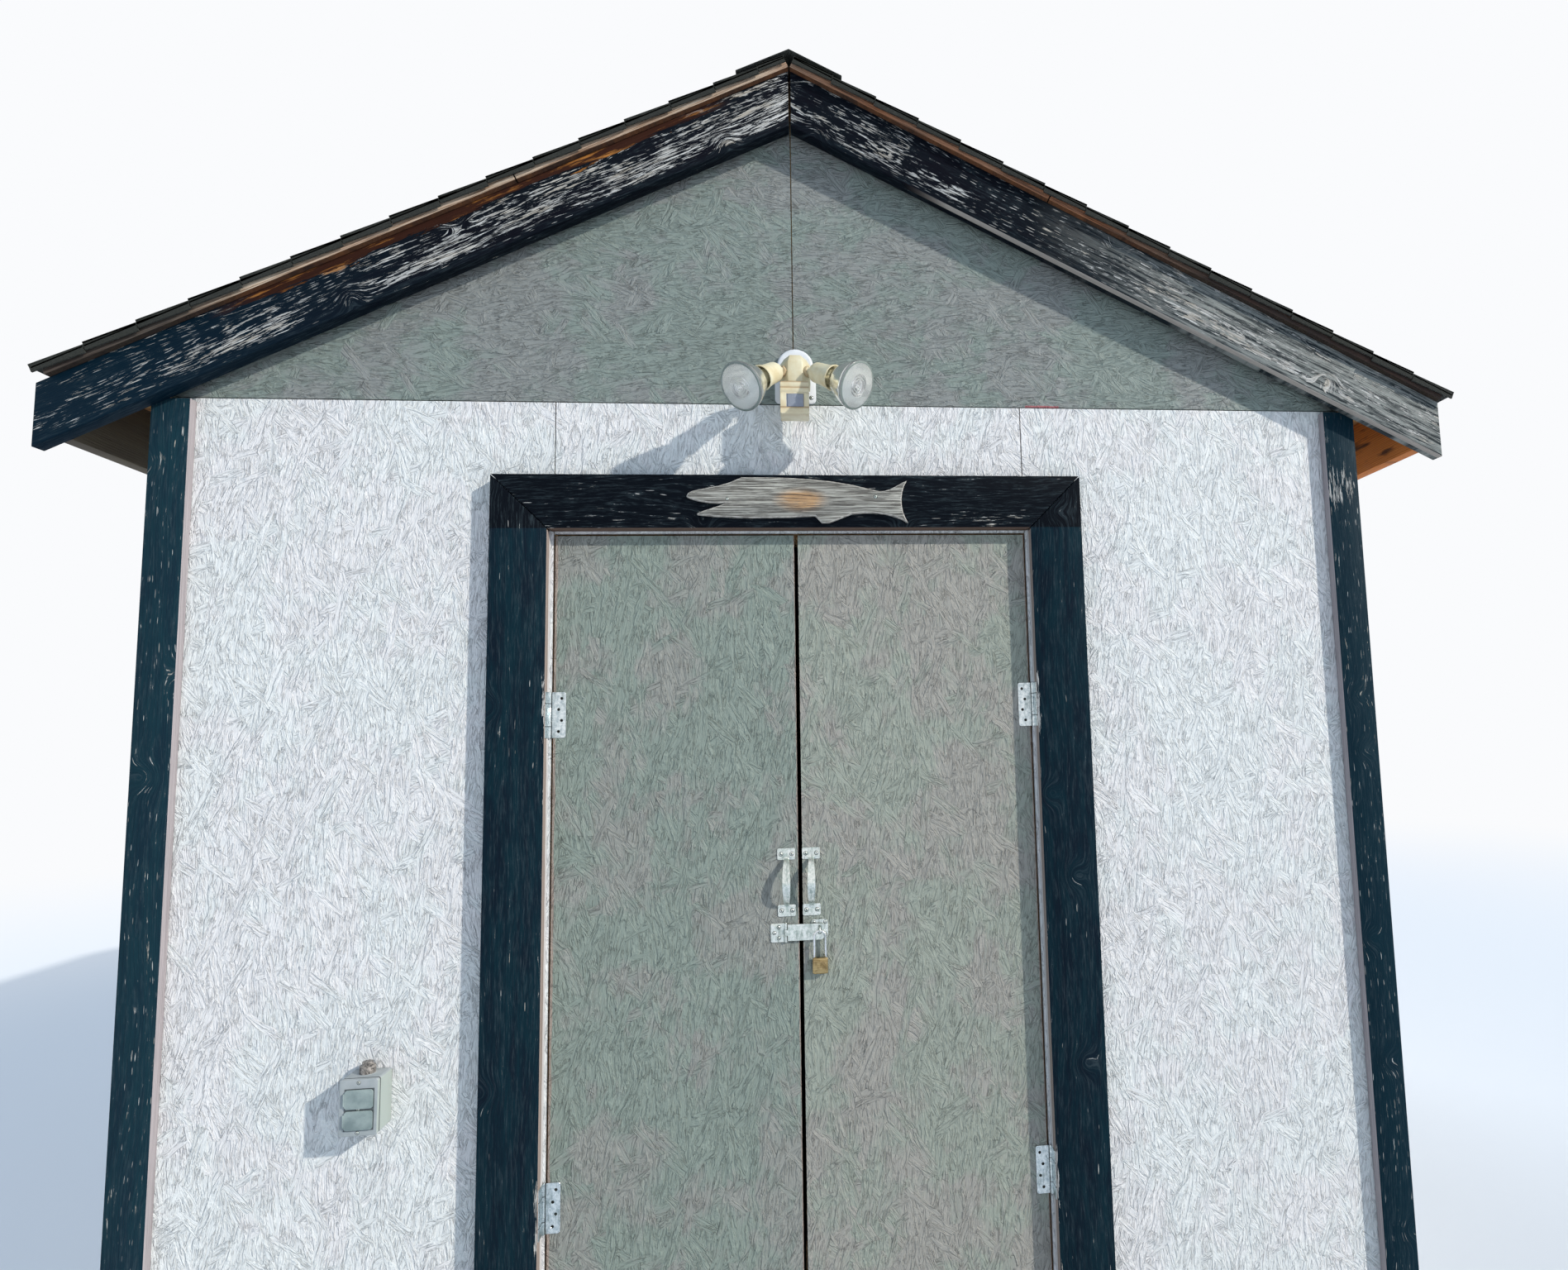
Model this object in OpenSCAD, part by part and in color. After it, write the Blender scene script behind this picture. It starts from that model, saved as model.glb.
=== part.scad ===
// Gabled timber hut on skids, with a pair of doors in its front gable wall.
// Millimetres, +Z up. The front faces -Y. The origin is at the centre of the plan,
// on the bottom of the middle skid.

/* [Building] */
// Width of the wall framing across the front
frame_w = 3048; // [2900:1:3200]
// Depth of the wall framing, front to back
frame_d = 3048; // [2400:1:3200]
// Height of the full wall sheets
sheet_h = 2438; // [2300:1:2500]
// Width of a full wall sheet
sheet_w = 1219; // [1200:1:1240]
// Thickness of the strand board on the walls
board_t = 11; // [9:1:15]
// Joint left open between two sheets
sheet_gap = 3; // [2:1:5]

/* [Roof] */
// Rise of the roof for each unit of run
pitch = 0.5; // [0.4:0.01:0.6]
// Height of the rafters' top edge at the ridge line
ridge_z = 3432; // [3350:1:3550]
// Overhang of the eaves beyond the wall framing, to the outside of the fascia
eave_out = 241; // [180:1:320]
// Thickness of the roof sheathing
deck_t = 18; // [12:1:19]
// Thickness of the felt under the shingles, left as a gap
felt_t = 0.5; // [0.4:0.1:1.5]
// Exposed depth of one shingle course
course = 127; // [120:1:145]
// Thickness of the shingle layers at the butt of a course
butt_t = 13; // [9:1:16]

/* [Lumber] */
// Thickness of two-by lumber
two = 38; // [35:1:40]
// Width of a two-by-four
four = 89; // [80:1:92]
// Width of a two-by-six
six = 140; // [130:1:145]
// Thickness of the corner boards
trim_t = 25; // [19:1:32]
// Thickness of the floor boarding
floor_t = 16; // [12:1:19]

/* [Doors] */
// Gap between the two leaves
leaf_gap = 10; // [6:1:12]
// Gap between a leaf and the sheet beside it
edge_gap = 5.5; // [5:0.5:8]
// Height of the doorway's head above the ground
head_z = 2182; // [2100:1:2250]
// Height of the lower hinges' centre above the ground
low_hinge_z = 559; // [450:1:700]
// Height of the upper hinges' centre above the ground
high_hinge_z = 1722; // [1500:1:1900]
// Height of the pull handles' centre above the ground
handle_z = 1290; // [1100:1:1500]
// Height of the hasp's centre above the ground
hasp_z = 1167; // [1000:1:1250]

/* [Fittings] */
// Height of the twin lamp's wall plate
lamp_z = 2628; // [2600:1:2680]
// Largest diameter of a lamp bulb
bulb_d = 121; // [95:1:125]
// Height of the outlet box's centre above the ground
outlet_z = 841; // [600:1:1200]
// Distance of the outlet box's centre from the middle of the front
outlet_x = -1006; // [-1300:1:-850]

/* [Hidden] */
$fn = 48;

half_w = frame_w / 2;
half_d = frame_d / 2;
// Open butt joint between timbers that a real carpenter leaves
butt = 1;

skid = four;
joist_z = skid;
floor_z = joist_z + six + floor_t;
sheet_z = joist_z;
seam_z = sheet_z + sheet_h;
stud_z = floor_z + two;
// The joint between wall and gable sheets is nailed this far up the lower top plate
seam_up = 13;
stud_top = seam_z - seam_up;
tie_z = stud_top + two;
plate_z = tie_z + two;

slope_a = atan(pitch);
// Plumb height of a timber that is cut square to the slope
function plumb(width) = width / cos(slope_a);
// Height of the rafters' top edge at a distance x from the ridge
function roof_z(x) = ridge_z - pitch * x;
// Height of the rafters' bottom edge there
function rafter_foot(x) = roof_z(x) - plumb(four);

eave_x = half_w + eave_out;
// Reach of the barge boards past the fascia, of each roof layer past the one under it,
// and of the roof boards and the shingles past the front
barge_out = 25;
drip = 22;
rake_out = 15;
shingle_out = 10;
barge_x = eave_x + barge_out;
boards_x = eave_x + drip;
shingle_x = boards_x + drip;
face_y = -half_d - board_t;
barge_y = face_y - trim_t - two;
rake_y = barge_y - rake_out;

door_half = sheet_w / 2 + sheet_gap;
casing_in = door_half + edge_gap;
leaf_w = door_half - edge_gap - leaf_gap / 2;
leaf_x = door_half - edge_gap;
sill_gap = 8;
head_gap = 6;
leaf_z = floor_z + sill_gap;
leaf_top = head_z - head_gap;
leaf_h = leaf_top - leaf_z;

pin_r = 2.2;
knuckle_r = 3.3;
pin_out = 3.5;
pin_x = casing_in - pin_out;
pin_y = face_y - pin_out;
hinge_h = 114;
// Thickness and width of the pressed steel plates
plate_t = 2;
plate_w = 38;

black = [0.09, 0.14, 0.16];
raw_wood = [0.62, 0.45, 0.28];
stud_wood = [0.76, 0.62, 0.44];
white_paint = [0.88, 0.89, 0.92];
grey_paint = [0.44, 0.47, 0.45];
zinc = [0.75, 0.77, 0.8];
cream = [0.86, 0.83, 0.74];

// Both sides of the hut, mirrored across the middle
module both_sides() {
    children();
    mirror([1, 0, 0]) children();
}

// A plate in the XZ plane, from y to y + thickness
module wall_slab(y, thickness) {
    translate([0, y + thickness, 0]) rotate([90, 0, 0]) linear_extrude(thickness) children();
}

// Three runners that carry the floor
module skids() {
    inset = 224;
    color([0.5, 0.42, 0.33])
        for (x = [-1, 0, 1] * (half_w - inset))
            translate([x - skid / 2, -half_d, 0]) cube([skid, frame_d, skid]);
}

// Joists across the skids, between two rims
module floor_joists() {
    bays = 8;
    color(stud_wood) {
        for (i = [0:bays])
            translate([-half_w + two + butt, -half_d + i * (frame_d - two) / bays, joist_z])
                cube([frame_w - 2 * (two + butt), two, six]);
        both_sides() translate([half_w - two, -half_d, joist_z]) cube([two, frame_d, six]);
    }
}

module floor_boards() {
    color(raw_wood)
        translate([-half_w, -half_d, floor_z - floor_t]) cube([frame_w, frame_d, floor_t]);
}

// Plates on the floor under every wall, left out across the doorway
module sole_plates() {
    color(stud_wood) {
        both_sides() translate([door_half, -half_d, floor_z]) cube([half_w - door_half, four, two]);
        translate([-half_w, half_d - four, floor_z]) cube([frame_w, four, two]);
        both_sides() translate([half_w - four, -half_d + four + butt, floor_z])
            cube([four, frame_d - 2 * (four + butt), two]);
    }
}

// Studs of all four walls, the short ones over the door header, and the jack studs
// that carry the header at the sides of the doorway
module wall_studs() {
    height = stud_top - stud_z;
    bays = 5;
    side_run = frame_d - 2 * (four + butt) - two;
    cripple_z = head_z + six;
    color(stud_wood) {
        for (i = [0:bays])
            translate([-half_w + i * (frame_w - two) / bays, half_d - four, stud_z])
                cube([two, four, height]);
        both_sides() for (x = [half_w - two, (half_w + door_half) / 2, door_half + two + butt])
            translate([x, -half_d, stud_z]) cube([two, four, height]);
        both_sides() for (i = [0:bays])
            translate([half_w - four, -half_d + four + butt + i * side_run / bays, stud_z])
                cube([four, two, height]);
        for (x = [-1, 0, 1] * (sheet_w / 3))
            translate([x - two / 2, -half_d, cripple_z]) cube([two, four, stud_top - cripple_z]);
        both_sides() translate([door_half, -half_d, stud_z]) cube([two, four, head_z - stud_z]);
    }
}

// Lower run of the doubled plate: long runs front and back
module top_plates() {
    color(stud_wood) {
        for (y = [-half_d, half_d - four])
            translate([-half_w, y, stud_top]) cube([frame_w, four, two]);
        both_sides() translate([half_w - four, -half_d + four + butt, stud_top])
            cube([four, frame_d - 2 * (four + butt), two]);
    }
}

// Upper run, lapped over the corners the other way: long runs at the sides
module tie_plates() {
    color(stud_wood) {
        both_sides() translate([half_w - four, -half_d, tie_z]) cube([four, frame_d, two]);
        for (y = [-half_d, half_d - four])
            translate([-half_w + four + butt, y, tie_z]) cube([frame_w - 2 * (four + butt), four, two]);
    }
}

module door_header() {
    reach = door_half + two;
    color(stud_wood) translate([-reach, -half_d, head_z]) cube([2 * reach, four, six]);
}

// Studs in the two gables, cut to the slope under the end rafters
module gable_studs() {
    run = 610;
    color(stud_wood)
        for (y = [-half_d, half_d - four], i = [-2:2])
            let (x = i * run)
            wall_slab(y, four)
                polygon([
                    [x - two / 2, plate_z],
                    [x + two / 2, plate_z],
                    [x + two / 2, min(rafter_foot(abs(x + two / 2)), ridge_z - six) - butt],
                    [x - two / 2, min(rafter_foot(abs(x - two / 2)), ridge_z - six) - butt]]);
}

// A piece of wall sheet on the front framing, between two distances from the middle
module front_sheet(x0, x1, z0, z1) {
    translate([x0, face_y, z0]) cube([x1 - x0, board_t, z1 - z0]);
}

// Sheets beside, over and under the doorway
module front_wall() {
    color(white_paint) {
        both_sides() front_sheet(door_half, half_w + board_t, sheet_z, seam_z);
        front_sheet(-sheet_w / 2, sheet_w / 2, head_z, seam_z);
        front_sheet(-sheet_w / 2, sheet_w / 2, sheet_z, floor_z);
    }
}

// Full sheets from the front, with the remainder at the back
module side_walls() {
    color(white_paint)
        both_sides() for (i = [0:2])
            let (y0 = -half_d + i * (sheet_w + sheet_gap), y1 = min(y0 + sheet_w, half_d))
            translate([half_w, y0, sheet_z]) cube([board_t, y1 - y0, sheet_h]);
}

// One full sheet in the middle of the back wall, and a ripped one at each side
module back_wall() {
    edge = sheet_w / 2;
    color(white_paint) {
        translate([-edge, half_d, sheet_z]) cube([sheet_w, board_t, sheet_h]);
        both_sides() translate([edge + sheet_gap, half_d, sheet_z])
            cube([half_w + board_t - edge - sheet_gap, board_t, sheet_h]);
    }
}

// Sheets of both gables, with a joint under the peak
module gable_walls() {
    outer = half_w + board_t;
    color(grey_paint)
        for (y = [face_y, half_d])
            both_sides() wall_slab(y, board_t)
                polygon([
                    [sheet_gap / 2, seam_z + sheet_gap],
                    [outer, seam_z + sheet_gap],
                    [outer, roof_z(outer)],
                    [sheet_gap / 2, roof_z(sheet_gap / 2)]]);
}

// Ridge board, with its top bevelled to both slopes
module ridge_board() {
    color(stud_wood)
        wall_slab(-half_d, frame_d)
            polygon([
                [-two / 2, roof_z(two / 2)],
                [0, roof_z(0)],
                [two / 2, roof_z(two / 2)],
                [two / 2, roof_z(0) - six],
                [-two / 2, roof_z(0) - six]]);
}

// One rafter: plumb cuts at the ridge board and the fascia, and a birdsmouth
// whose seat lies on the tie plate and whose heel stands against its outer face
module rafter(y) {
    tail = eave_x - two;
    seat_x = (rafter_foot(0) - plate_z) / pitch;
    wall_slab(y, two)
        polygon([
            [two / 2, roof_z(two / 2)],
            [tail, roof_z(tail)],
            [tail, rafter_foot(tail)],
            [half_w, rafter_foot(half_w)],
            [half_w, plate_z],
            [seat_x, plate_z],
            [two / 2, rafter_foot(two / 2)]]);
}

module rafters() {
    bays = 5;
    color(stud_wood)
        both_sides() for (i = [0:bays])
            rafter(-half_d + i * (frame_d - two) / bays);
}

// A layer on the roof slope, given in lengths along the slope from the ridge and
// heights square to it, and drawn out between the two rake edges
module slope_layer(y_front, y_back) {
    translate([0, y_back, ridge_z]) rotate([90, 0, 0])
        linear_extrude(y_back - y_front) rotate(-slope_a) children();
}

// Roof sheathing over the rafters, as one bevelled slab on each side
module roof_boards() {
    color(raw_wood)
        both_sides() wall_slab(rake_y, -2 * rake_y)
            polygon([
                [sheet_gap / 2, roof_z(sheet_gap / 2)],
                [boards_x, roof_z(boards_x)],
                [boards_x + deck_t * sin(slope_a), roof_z(boards_x) + deck_t * cos(slope_a)],
                [sheet_gap / 2, roof_z(sheet_gap / 2) + plumb(deck_t)]]);
}

// Shingle courses: each butt stands up from the course below it
module shingles() {
    length = shingle_x / cos(slope_a);
    count = ceil(length / course);
    thin = butt_t * 0.55;
    start = 4;
    color([0.13, 0.14, 0.15])
        both_sides() slope_layer(rake_y - shingle_out, -rake_y + shingle_out)
            polygon([
                [start, deck_t + felt_t],
                [start, deck_t + thin],
                for (i = [count - 1:-1:0]) each [
                    [max(length - (i + 1) * course, start), deck_t + thin],
                    [length - i * course, deck_t + butt_t]],
                [length, deck_t + felt_t]]);
}

// Caps bent over the ridge, each with its butt lying on the one behind it
module ridge_caps() {
    reach = 140;
    cap_t = 3;
    lap = 30;
    rise = cap_t + felt_t;
    run = -2 * (rake_y - shingle_out);
    exposed = 142;
    count = round(run / exposed);
    step = (run - lap) / count;
    base = ridge_z + plumb(deck_t + butt_t) + butt;
    color([0.15, 0.16, 0.17])
        for (i = [0:count - 1])
            translate([0, -run / 2 + i * step, base + rise * (1 + lap / step)])
                rotate([-atan(rise / step), 0, 0]) wall_slab(0, step + lap)
                    polygon([
                        [-reach, -pitch * reach],
                        [0, 0],
                        [reach, -pitch * reach],
                        [reach, -pitch * reach + cap_t],
                        [0, cap_t],
                        [-reach, -pitch * reach + cap_t]]);
}

// Barge boards with plumb cuts at the peak and at the tails
module barge_boards() {
    joint = 3;
    color(black)
        for (y = [barge_y, -barge_y - two])
            both_sides() wall_slab(y, two)
                polygon([
                    [joint, roof_z(joint) - plumb(six)],
                    [barge_x, roof_z(barge_x) - plumb(six)],
                    [barge_x, roof_z(barge_x)],
                    [joint, roof_z(joint)]]);
}

// Packing between the gable sheets and the barge boards, above the corner boards
module rake_strips() {
    outer = half_w - 70;
    color(raw_wood)
        for (y = [face_y - trim_t, half_d + board_t])
            both_sides() wall_slab(y, trim_t)
                polygon([
                    [butt, roof_z(butt) - plumb(four)],
                    [outer, roof_z(outer) - plumb(four)],
                    [outer, roof_z(outer)],
                    [butt, roof_z(butt)]]);
}

// Fascia boards on the rafter tails, with the top edge bevelled to the roof
module eave_fascias() {
    back = face_y - trim_t;
    inner = eave_x - two;
    foot = roof_z(eave_x) - six;
    color([0.55, 0.4, 0.25])
        both_sides() wall_slab(back, -2 * back)
            polygon([
                [inner, foot],
                [eave_x, foot],
                [eave_x, roof_z(eave_x)],
                [inner, roof_z(inner)]]);
}

corner_x = half_w + board_t + trim_t;
// Foot of the trim above the foot of the sheets, and its top under the sheets' joint
trim_up = 6;
trim_down = 9;
corner_z = sheet_z + trim_up;
corner_h = seam_z - trim_down - corner_z;

// Boards on the front and back that cover the edges of the side corner boards
module end_corner_boards() {
    color(black)
        for (y = [face_y - trim_t, half_d + board_t])
            both_sides() translate([corner_x - four, y, corner_z]) cube([four, trim_t, corner_h]);
}

// Boards on the side walls, butted behind the front and back ones
module side_corner_boards() {
    color(black)
        for (y = [face_y, half_d + board_t - four])
            both_sides() translate([half_w + board_t, y, corner_z]) cube([trim_t, four, corner_h]);
}

// Casing of two-by-sixes round the doorway, mitred at the head
module door_casing() {
    mitre = 1.2;
    outer = casing_in + six;
    inner_z = head_z + edge_gap;
    color(black) wall_slab(face_y - two, two) {
        both_sides() polygon([
            [casing_in, corner_z],
            [outer, corner_z],
            [outer, inner_z + six - mitre],
            [casing_in, inner_z - mitre]]);
        polygon([
            [-casing_in + mitre, inner_z],
            [casing_in - mitre, inner_z],
            [outer - mitre, inner_z + six],
            [-outer + mitre, inner_z + six]]);
    }
}

// Strips that the closed leaves rest against, nailed inside the opening
module door_stops() {
    stop_t = 19;
    stop_y = -half_d + two + edge_gap;
    color(raw_wood) {
        both_sides() translate([door_half - stop_t, stop_y, stud_z + butt])
            cube([stop_t, two, head_z - stud_z - stop_t - 2 * butt]);
        translate([-door_half + butt, stop_y, head_z - stop_t])
            cube([2 * (door_half - butt), two, stop_t]);
    }
}

// A flat outline with rounded corners, centred
module rounded(w, h, r) {
    square([w - 2 * r, h], center = true);
    square([w, h - 2 * r], center = true);
    for (x = [-1, 1] * (w / 2 - r), z = [-1, 1] * (h / 2 - r))
        translate([x, z]) circle(r = r);
}

hinge_third = hinge_h / 3;
play = 0.4;
bore_gap = 0.3;

// Fixed half of one hinge: a leaf on the side of the casing, two knuckles, the pin
module fixed_hinge(z) {
    low = z - hinge_h / 2;
    inset = 3;
    tip = 1.5;
    leaf_y = face_y - two + inset;
    difference() {
        union() {
            translate([casing_in - plate_t, leaf_y, low]) cube([plate_t, pin_y - leaf_y, hinge_h]);
            translate([pin_x, pin_y, low]) cylinder(r = knuckle_r, h = hinge_h);
        }
        translate([pin_x, pin_y, low + hinge_third])
            cylinder(r = knuckle_r + play, h = hinge_third);
    }
    translate([pin_x, pin_y, low - tip]) cylinder(r = pin_r, h = hinge_h + 2 * tip);
}

module fixed_hinge_leaves() {
    color(zinc) both_sides() for (z = [low_hinge_z, high_hinge_z]) fixed_hinge(z);
}

// Moving half: a rounded leaf screwed to the face of the door through four staggered
// holes, and the middle knuckle
module moving_hinge(z) {
    corner_r = 6;
    hole_r = 3.4;
    spacing = 27.4;
    rows = [17.5, 10.3];
    edge = pin_x - plate_w;
    clear = knuckle_r + 1.5 * play;
    translate([0, 0, z]) difference() {
        union() {
            wall_slab(face_y - plate_t, plate_t) difference() {
                translate([edge + plate_w / 2, 0]) rounded(plate_w, hinge_h, corner_r);
                for (i = [0:3])
                    translate([edge + rows[i % 2], (i - 1.5) * spacing]) circle(r = hole_r);
                for (side = [-1, 1])
                    translate([pin_x, side * (hinge_third - play / 2)])
                        square([2 * clear, hinge_third + play], center = true);
            }
            translate([pin_x, pin_y, play - hinge_third / 2])
                cylinder(r = knuckle_r, h = hinge_third - 2 * play);
        }
        translate([pin_x, pin_y, -hinge_h / 2]) cylinder(r = pin_r + bore_gap, h = hinge_h);
    }
}

module right_hinge_leaves() {
    color(zinc) for (z = [low_hinge_z, high_hinge_z]) moving_hinge(z);
}

module left_hinge_leaves() {
    mirror([1, 0, 0]) right_hinge_leaves();
}

// Strand board skin of the right-hand leaf
module leaf_skin() {
    color([0.56, 0.58, 0.54])
        translate([leaf_gap / 2, face_y, leaf_z]) cube([leaf_w, board_t, leaf_h]);
}

// Flat frame behind the skin: two stiles and three rails
module leaf_frame() {
    color(stud_wood) {
        for (x = [leaf_gap / 2, leaf_x - four])
            translate([x, -half_d, leaf_z]) cube([four, two, leaf_h]);
        for (z = [leaf_z, leaf_z + leaf_h / 2 - four / 2, leaf_top - four])
            translate([leaf_gap / 2 + four + butt, -half_d, z])
                cube([leaf_w - 2 * (four + butt), two, four]);
    }
}

module right_leaf() {
    leaf_skin();
}

module left_leaf() {
    mirror([1, 0, 0]) leaf_skin();
}

module right_leaf_frame() {
    leaf_frame();
}

module left_leaf_frame() {
    mirror([1, 0, 0]) leaf_frame();
}

// Pressed pull handle: a rounded tab with two screw holes at each end, and a bowed
// grip that is widest in the middle
module handle(x) {
    height = 168;
    tab = [45, 29];
    tab_r = 4;
    hole_out = 13.5;
    hole_r = 2.5;
    grip_w = 20;
    grip_t = 3;
    overlap = 4;
    chord = height - 2 * (tab[1] - overlap);
    rise = 34;
    bow_r = (chord * chord / 4 + rise * rise) / (2 * rise);
    swell_r = 430;
    translate([x, 0, handle_z]) {
        wall_slab(face_y - plate_t, plate_t)
            for (side = [-1, 1]) translate([0, side * (height - tab[1]) / 2]) difference() {
                rounded(tab[0], tab[1], tab_r);
                for (dx = [-1, 1] * hole_out) translate([dx, 0]) circle(r = hole_r);
            }
        translate([0, face_y, 0]) intersection() {
            rotate([90, 0, 90]) translate([bow_r - rise, 0, -grip_w])
                linear_extrude(2 * grip_w) difference() {
                    circle(r = bow_r + grip_t / 2, $fn = 96);
                    circle(r = bow_r - grip_t / 2, $fn = 96);
                }
            wall_slab(-2 * rise, 2 * rise) intersection() {
                translate([swell_r - grip_w / 2, 0]) circle(r = swell_r, $fn = 180);
                translate([grip_w / 2 - swell_r, 0]) circle(r = swell_r, $fn = 180);
                square([2 * grip_w, height], center = true);
            }
        }
    }
}

module right_handle() {
    inset = 22;
    color(zinc) handle(leaf_gap / 2 + inset);
}

module left_handle() {
    inset = 30;
    color(zinc) handle(-leaf_gap / 2 - inset);
}

hasp_x = -38;
hasp_r = 3.85;
hasp_y = face_y - hasp_r;
hasp_h = 46;
hasp_pin_r = 1.8;
strap_t = 2.5;
strap_y = face_y - 2 * hasp_r;
strap_h = 40;
staple_x = 46;
staple_t = 2.2;
staple_y = face_y - staple_t;
eye_up = 4;
eye_z = hasp_z + eye_up;
eye_r = 7;
wire_r = 2.2;
shackle_r = 3;
shackle_gap = 1.5;
shackle_y = strap_y - shackle_r - shackle_gap;

// Fixed half of the hasp: a plate on the left leaf with three screw holes, two
// knuckles and the pin
module hasp_plate() {
    third = hasp_h / 3;
    corner_r = 4;
    screws = [[-18, 13], [-29, 0], [-18, -13]];
    screw_r = 2.6;
    difference() {
        union() {
            translate([0, 0, hasp_z]) wall_slab(face_y - plate_t, plate_t) difference() {
                translate([hasp_x - plate_w / 2, 0]) rounded(plate_w, hasp_h, corner_r);
                for (p = screws) translate([hasp_x + p[0], p[1]]) circle(r = screw_r);
            }
            translate([hasp_x, hasp_y, hasp_z - hasp_h / 2]) cylinder(r = hasp_r, h = hasp_h);
        }
        translate([hasp_x, hasp_y, hasp_z - third / 2]) cylinder(r = hasp_r + play, h = third);
    }
    translate([hasp_x, hasp_y, hasp_z - hasp_h / 2 - 1]) cylinder(r = hasp_pin_r, h = hasp_h + 2);
}

// Swinging half: the middle knuckle, and a strap with a slot for the staple
module hasp_strap() {
    third = hasp_h / 3;
    tip = 12;
    tip_r = 10;
    reach = staple_x + tip - hasp_x;
    start = hasp_r + 1.5 * play;
    slot_gap = 1.5;
    slot_r = 3;
    slot = 2 * [wire_r + slot_gap, eye_r + wire_r + slot_gap];
    difference() {
        union() {
            translate([hasp_x, 0, hasp_z]) wall_slab(strap_y, strap_t) difference() {
                union() {
                    translate([reach / 2, 0]) rounded(reach, strap_h, tip_r);
                    translate([reach / 4, 0]) square([reach / 2, strap_h], center = true);
                }
                for (side = [-1, 1])
                    translate([0, side * (third - play / 2)])
                        square([2 * start, third + play], center = true);
                translate([staple_x - hasp_x, eye_z - hasp_z]) rounded(slot[0], slot[1], slot_r);
            }
            translate([hasp_x, hasp_y, hasp_z - third / 2 + play]) cylinder(r = hasp_r, h = third - 2 * play);
        }
        translate([hasp_x, hasp_y, hasp_z - hasp_h]) cylinder(r = hasp_pin_r + play, h = 2 * hasp_h);
    }
}

// Loop of the staple: a bent wire that stands out through the slot of the strap
module staple_loop() {
    bend_y = shackle_y;
    foot_gap = 0.5;
    foot_y = staple_y - foot_gap;
    translate([staple_x, bend_y, eye_z]) rotate([180, 90, 0])
        rotate_extrude(angle = 180, $fn = 64) translate([eye_r, 0]) circle(r = wire_r, $fn = 24);
    for (side = [-1, 1])
        translate([staple_x, foot_y, eye_z + side * eye_r]) rotate([90, 0, 0])
            cylinder(r = wire_r, h = foot_y - bend_y, $fn = 24);
}

module hasp() {
    color(zinc) {
        hasp_plate();
        hasp_strap();
        staple_loop();
    }
}

module staple_plate() {
    size = [42, 46];
    corner_r = 8;
    up = 6;
    screw = [14, 16];
    screw_r = 2.2;
    color(zinc)
        translate([staple_x, 0, hasp_z + up]) wall_slab(staple_y, staple_t) difference() {
            rounded(size[0], size[1], corner_r);
            for (x = [-1, 1] * screw[0], z = [-1, 1] * screw[1]) translate([x, z]) circle(r = screw_r);
        }
}

// Solid padlock that hangs by its shackle from the loop of the staple
module padlock() {
    body = [38, 38];
    body_t = 13.5;
    corner_r = 4;
    drop = 66;
    body_top = eye_z - drop;
    spread = 14;
    top_z = eye_z - eye_r + wire_r + shackle_r + play;
    bend_z = top_z - spread;
    depth = 14;
    hole_r = shackle_r + bore_gap;
    keyway_r = 5.5;
    color([0.78, 0.62, 0.3]) difference() {
        translate([staple_x, 0, body_top - body[1] / 2])
            wall_slab(shackle_y - body_t / 2, body_t) rounded(body[0], body[1], corner_r);
        for (side = [-1, 1])
            translate([staple_x + side * spread, shackle_y, body_top - depth - 1])
                cylinder(r = hole_r, h = depth + 2);
        translate([staple_x, shackle_y, body_top - body[1] - 1]) cylinder(r = keyway_r, h = 2);
    }
    color(zinc) translate([staple_x, shackle_y, 0]) {
        for (side = [-1, 1])
            translate([side * spread, 0, body_top - depth])
                cylinder(r = shackle_r, h = bend_z - body_top + depth);
        translate([0, 0, bend_z]) rotate([90, 0, 0])
            rotate_extrude(angle = 180, $fn = 64) translate([spread, 0]) circle(r = shackle_r);
    }
}

// Points of a cubic curve, without its last one
function curve(a, b, c, d, steps = 7) =
    [for (i = [0:steps - 1]) let (t = i / steps, u = 1 - t)
        u * u * u * a + 3 * u * u * t * b + 3 * u * t * t * c + t * t * t * d];

// Sawn wooden fish on the head of the casing, with its jaws open to the left
module fish_plaque() {
    plaque_t = 12;
    middle_z = head_z + edge_gap + six / 2;
    snout = [-275, 9];
    brow = [-136, 60];
    rump = [205, 27];
    tail_top = [291, 53];
    tail_low = [292, -60];
    fin_back = [110, -42];
    fin_tip = [88, -59];
    fin_front = [68, -59];
    belly = [51, -41];
    chin = [-246, -38];
    gape = [-175, -7];
    color([0.5, 0.47, 0.42])
        translate([0, 0, middle_z]) wall_slab(face_y - two - plaque_t, plaque_t)
            polygon([
                each curve(snout, [-275, 36], [-205, 22], brow),
                each curve(brow, [-60, 60], [80, 64], rump),
                each curve(rump, [240, 16], [262, 42], tail_top),
                each curve(tail_top, [270, 20], [270, -25], tail_low),
                each curve(tail_low, [255, -34], [200, -24], fin_back),
                fin_tip,
                fin_front,
                each curve(belly, [-20, -46], [-150, -50], chin),
                each curve(chin, [-262, -34], [-215, -24], gape),
                each curve(gape, [-205, -10], [-250, -4], snout)]);
}

lamp_x = 5;
arm_down = 40;
arm_z = lamp_z - arm_down;
lamp_back = 18;
lamp_front = 90;
lamp_half = 39;
nose_half = 18;
shoulder = 60;

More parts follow.
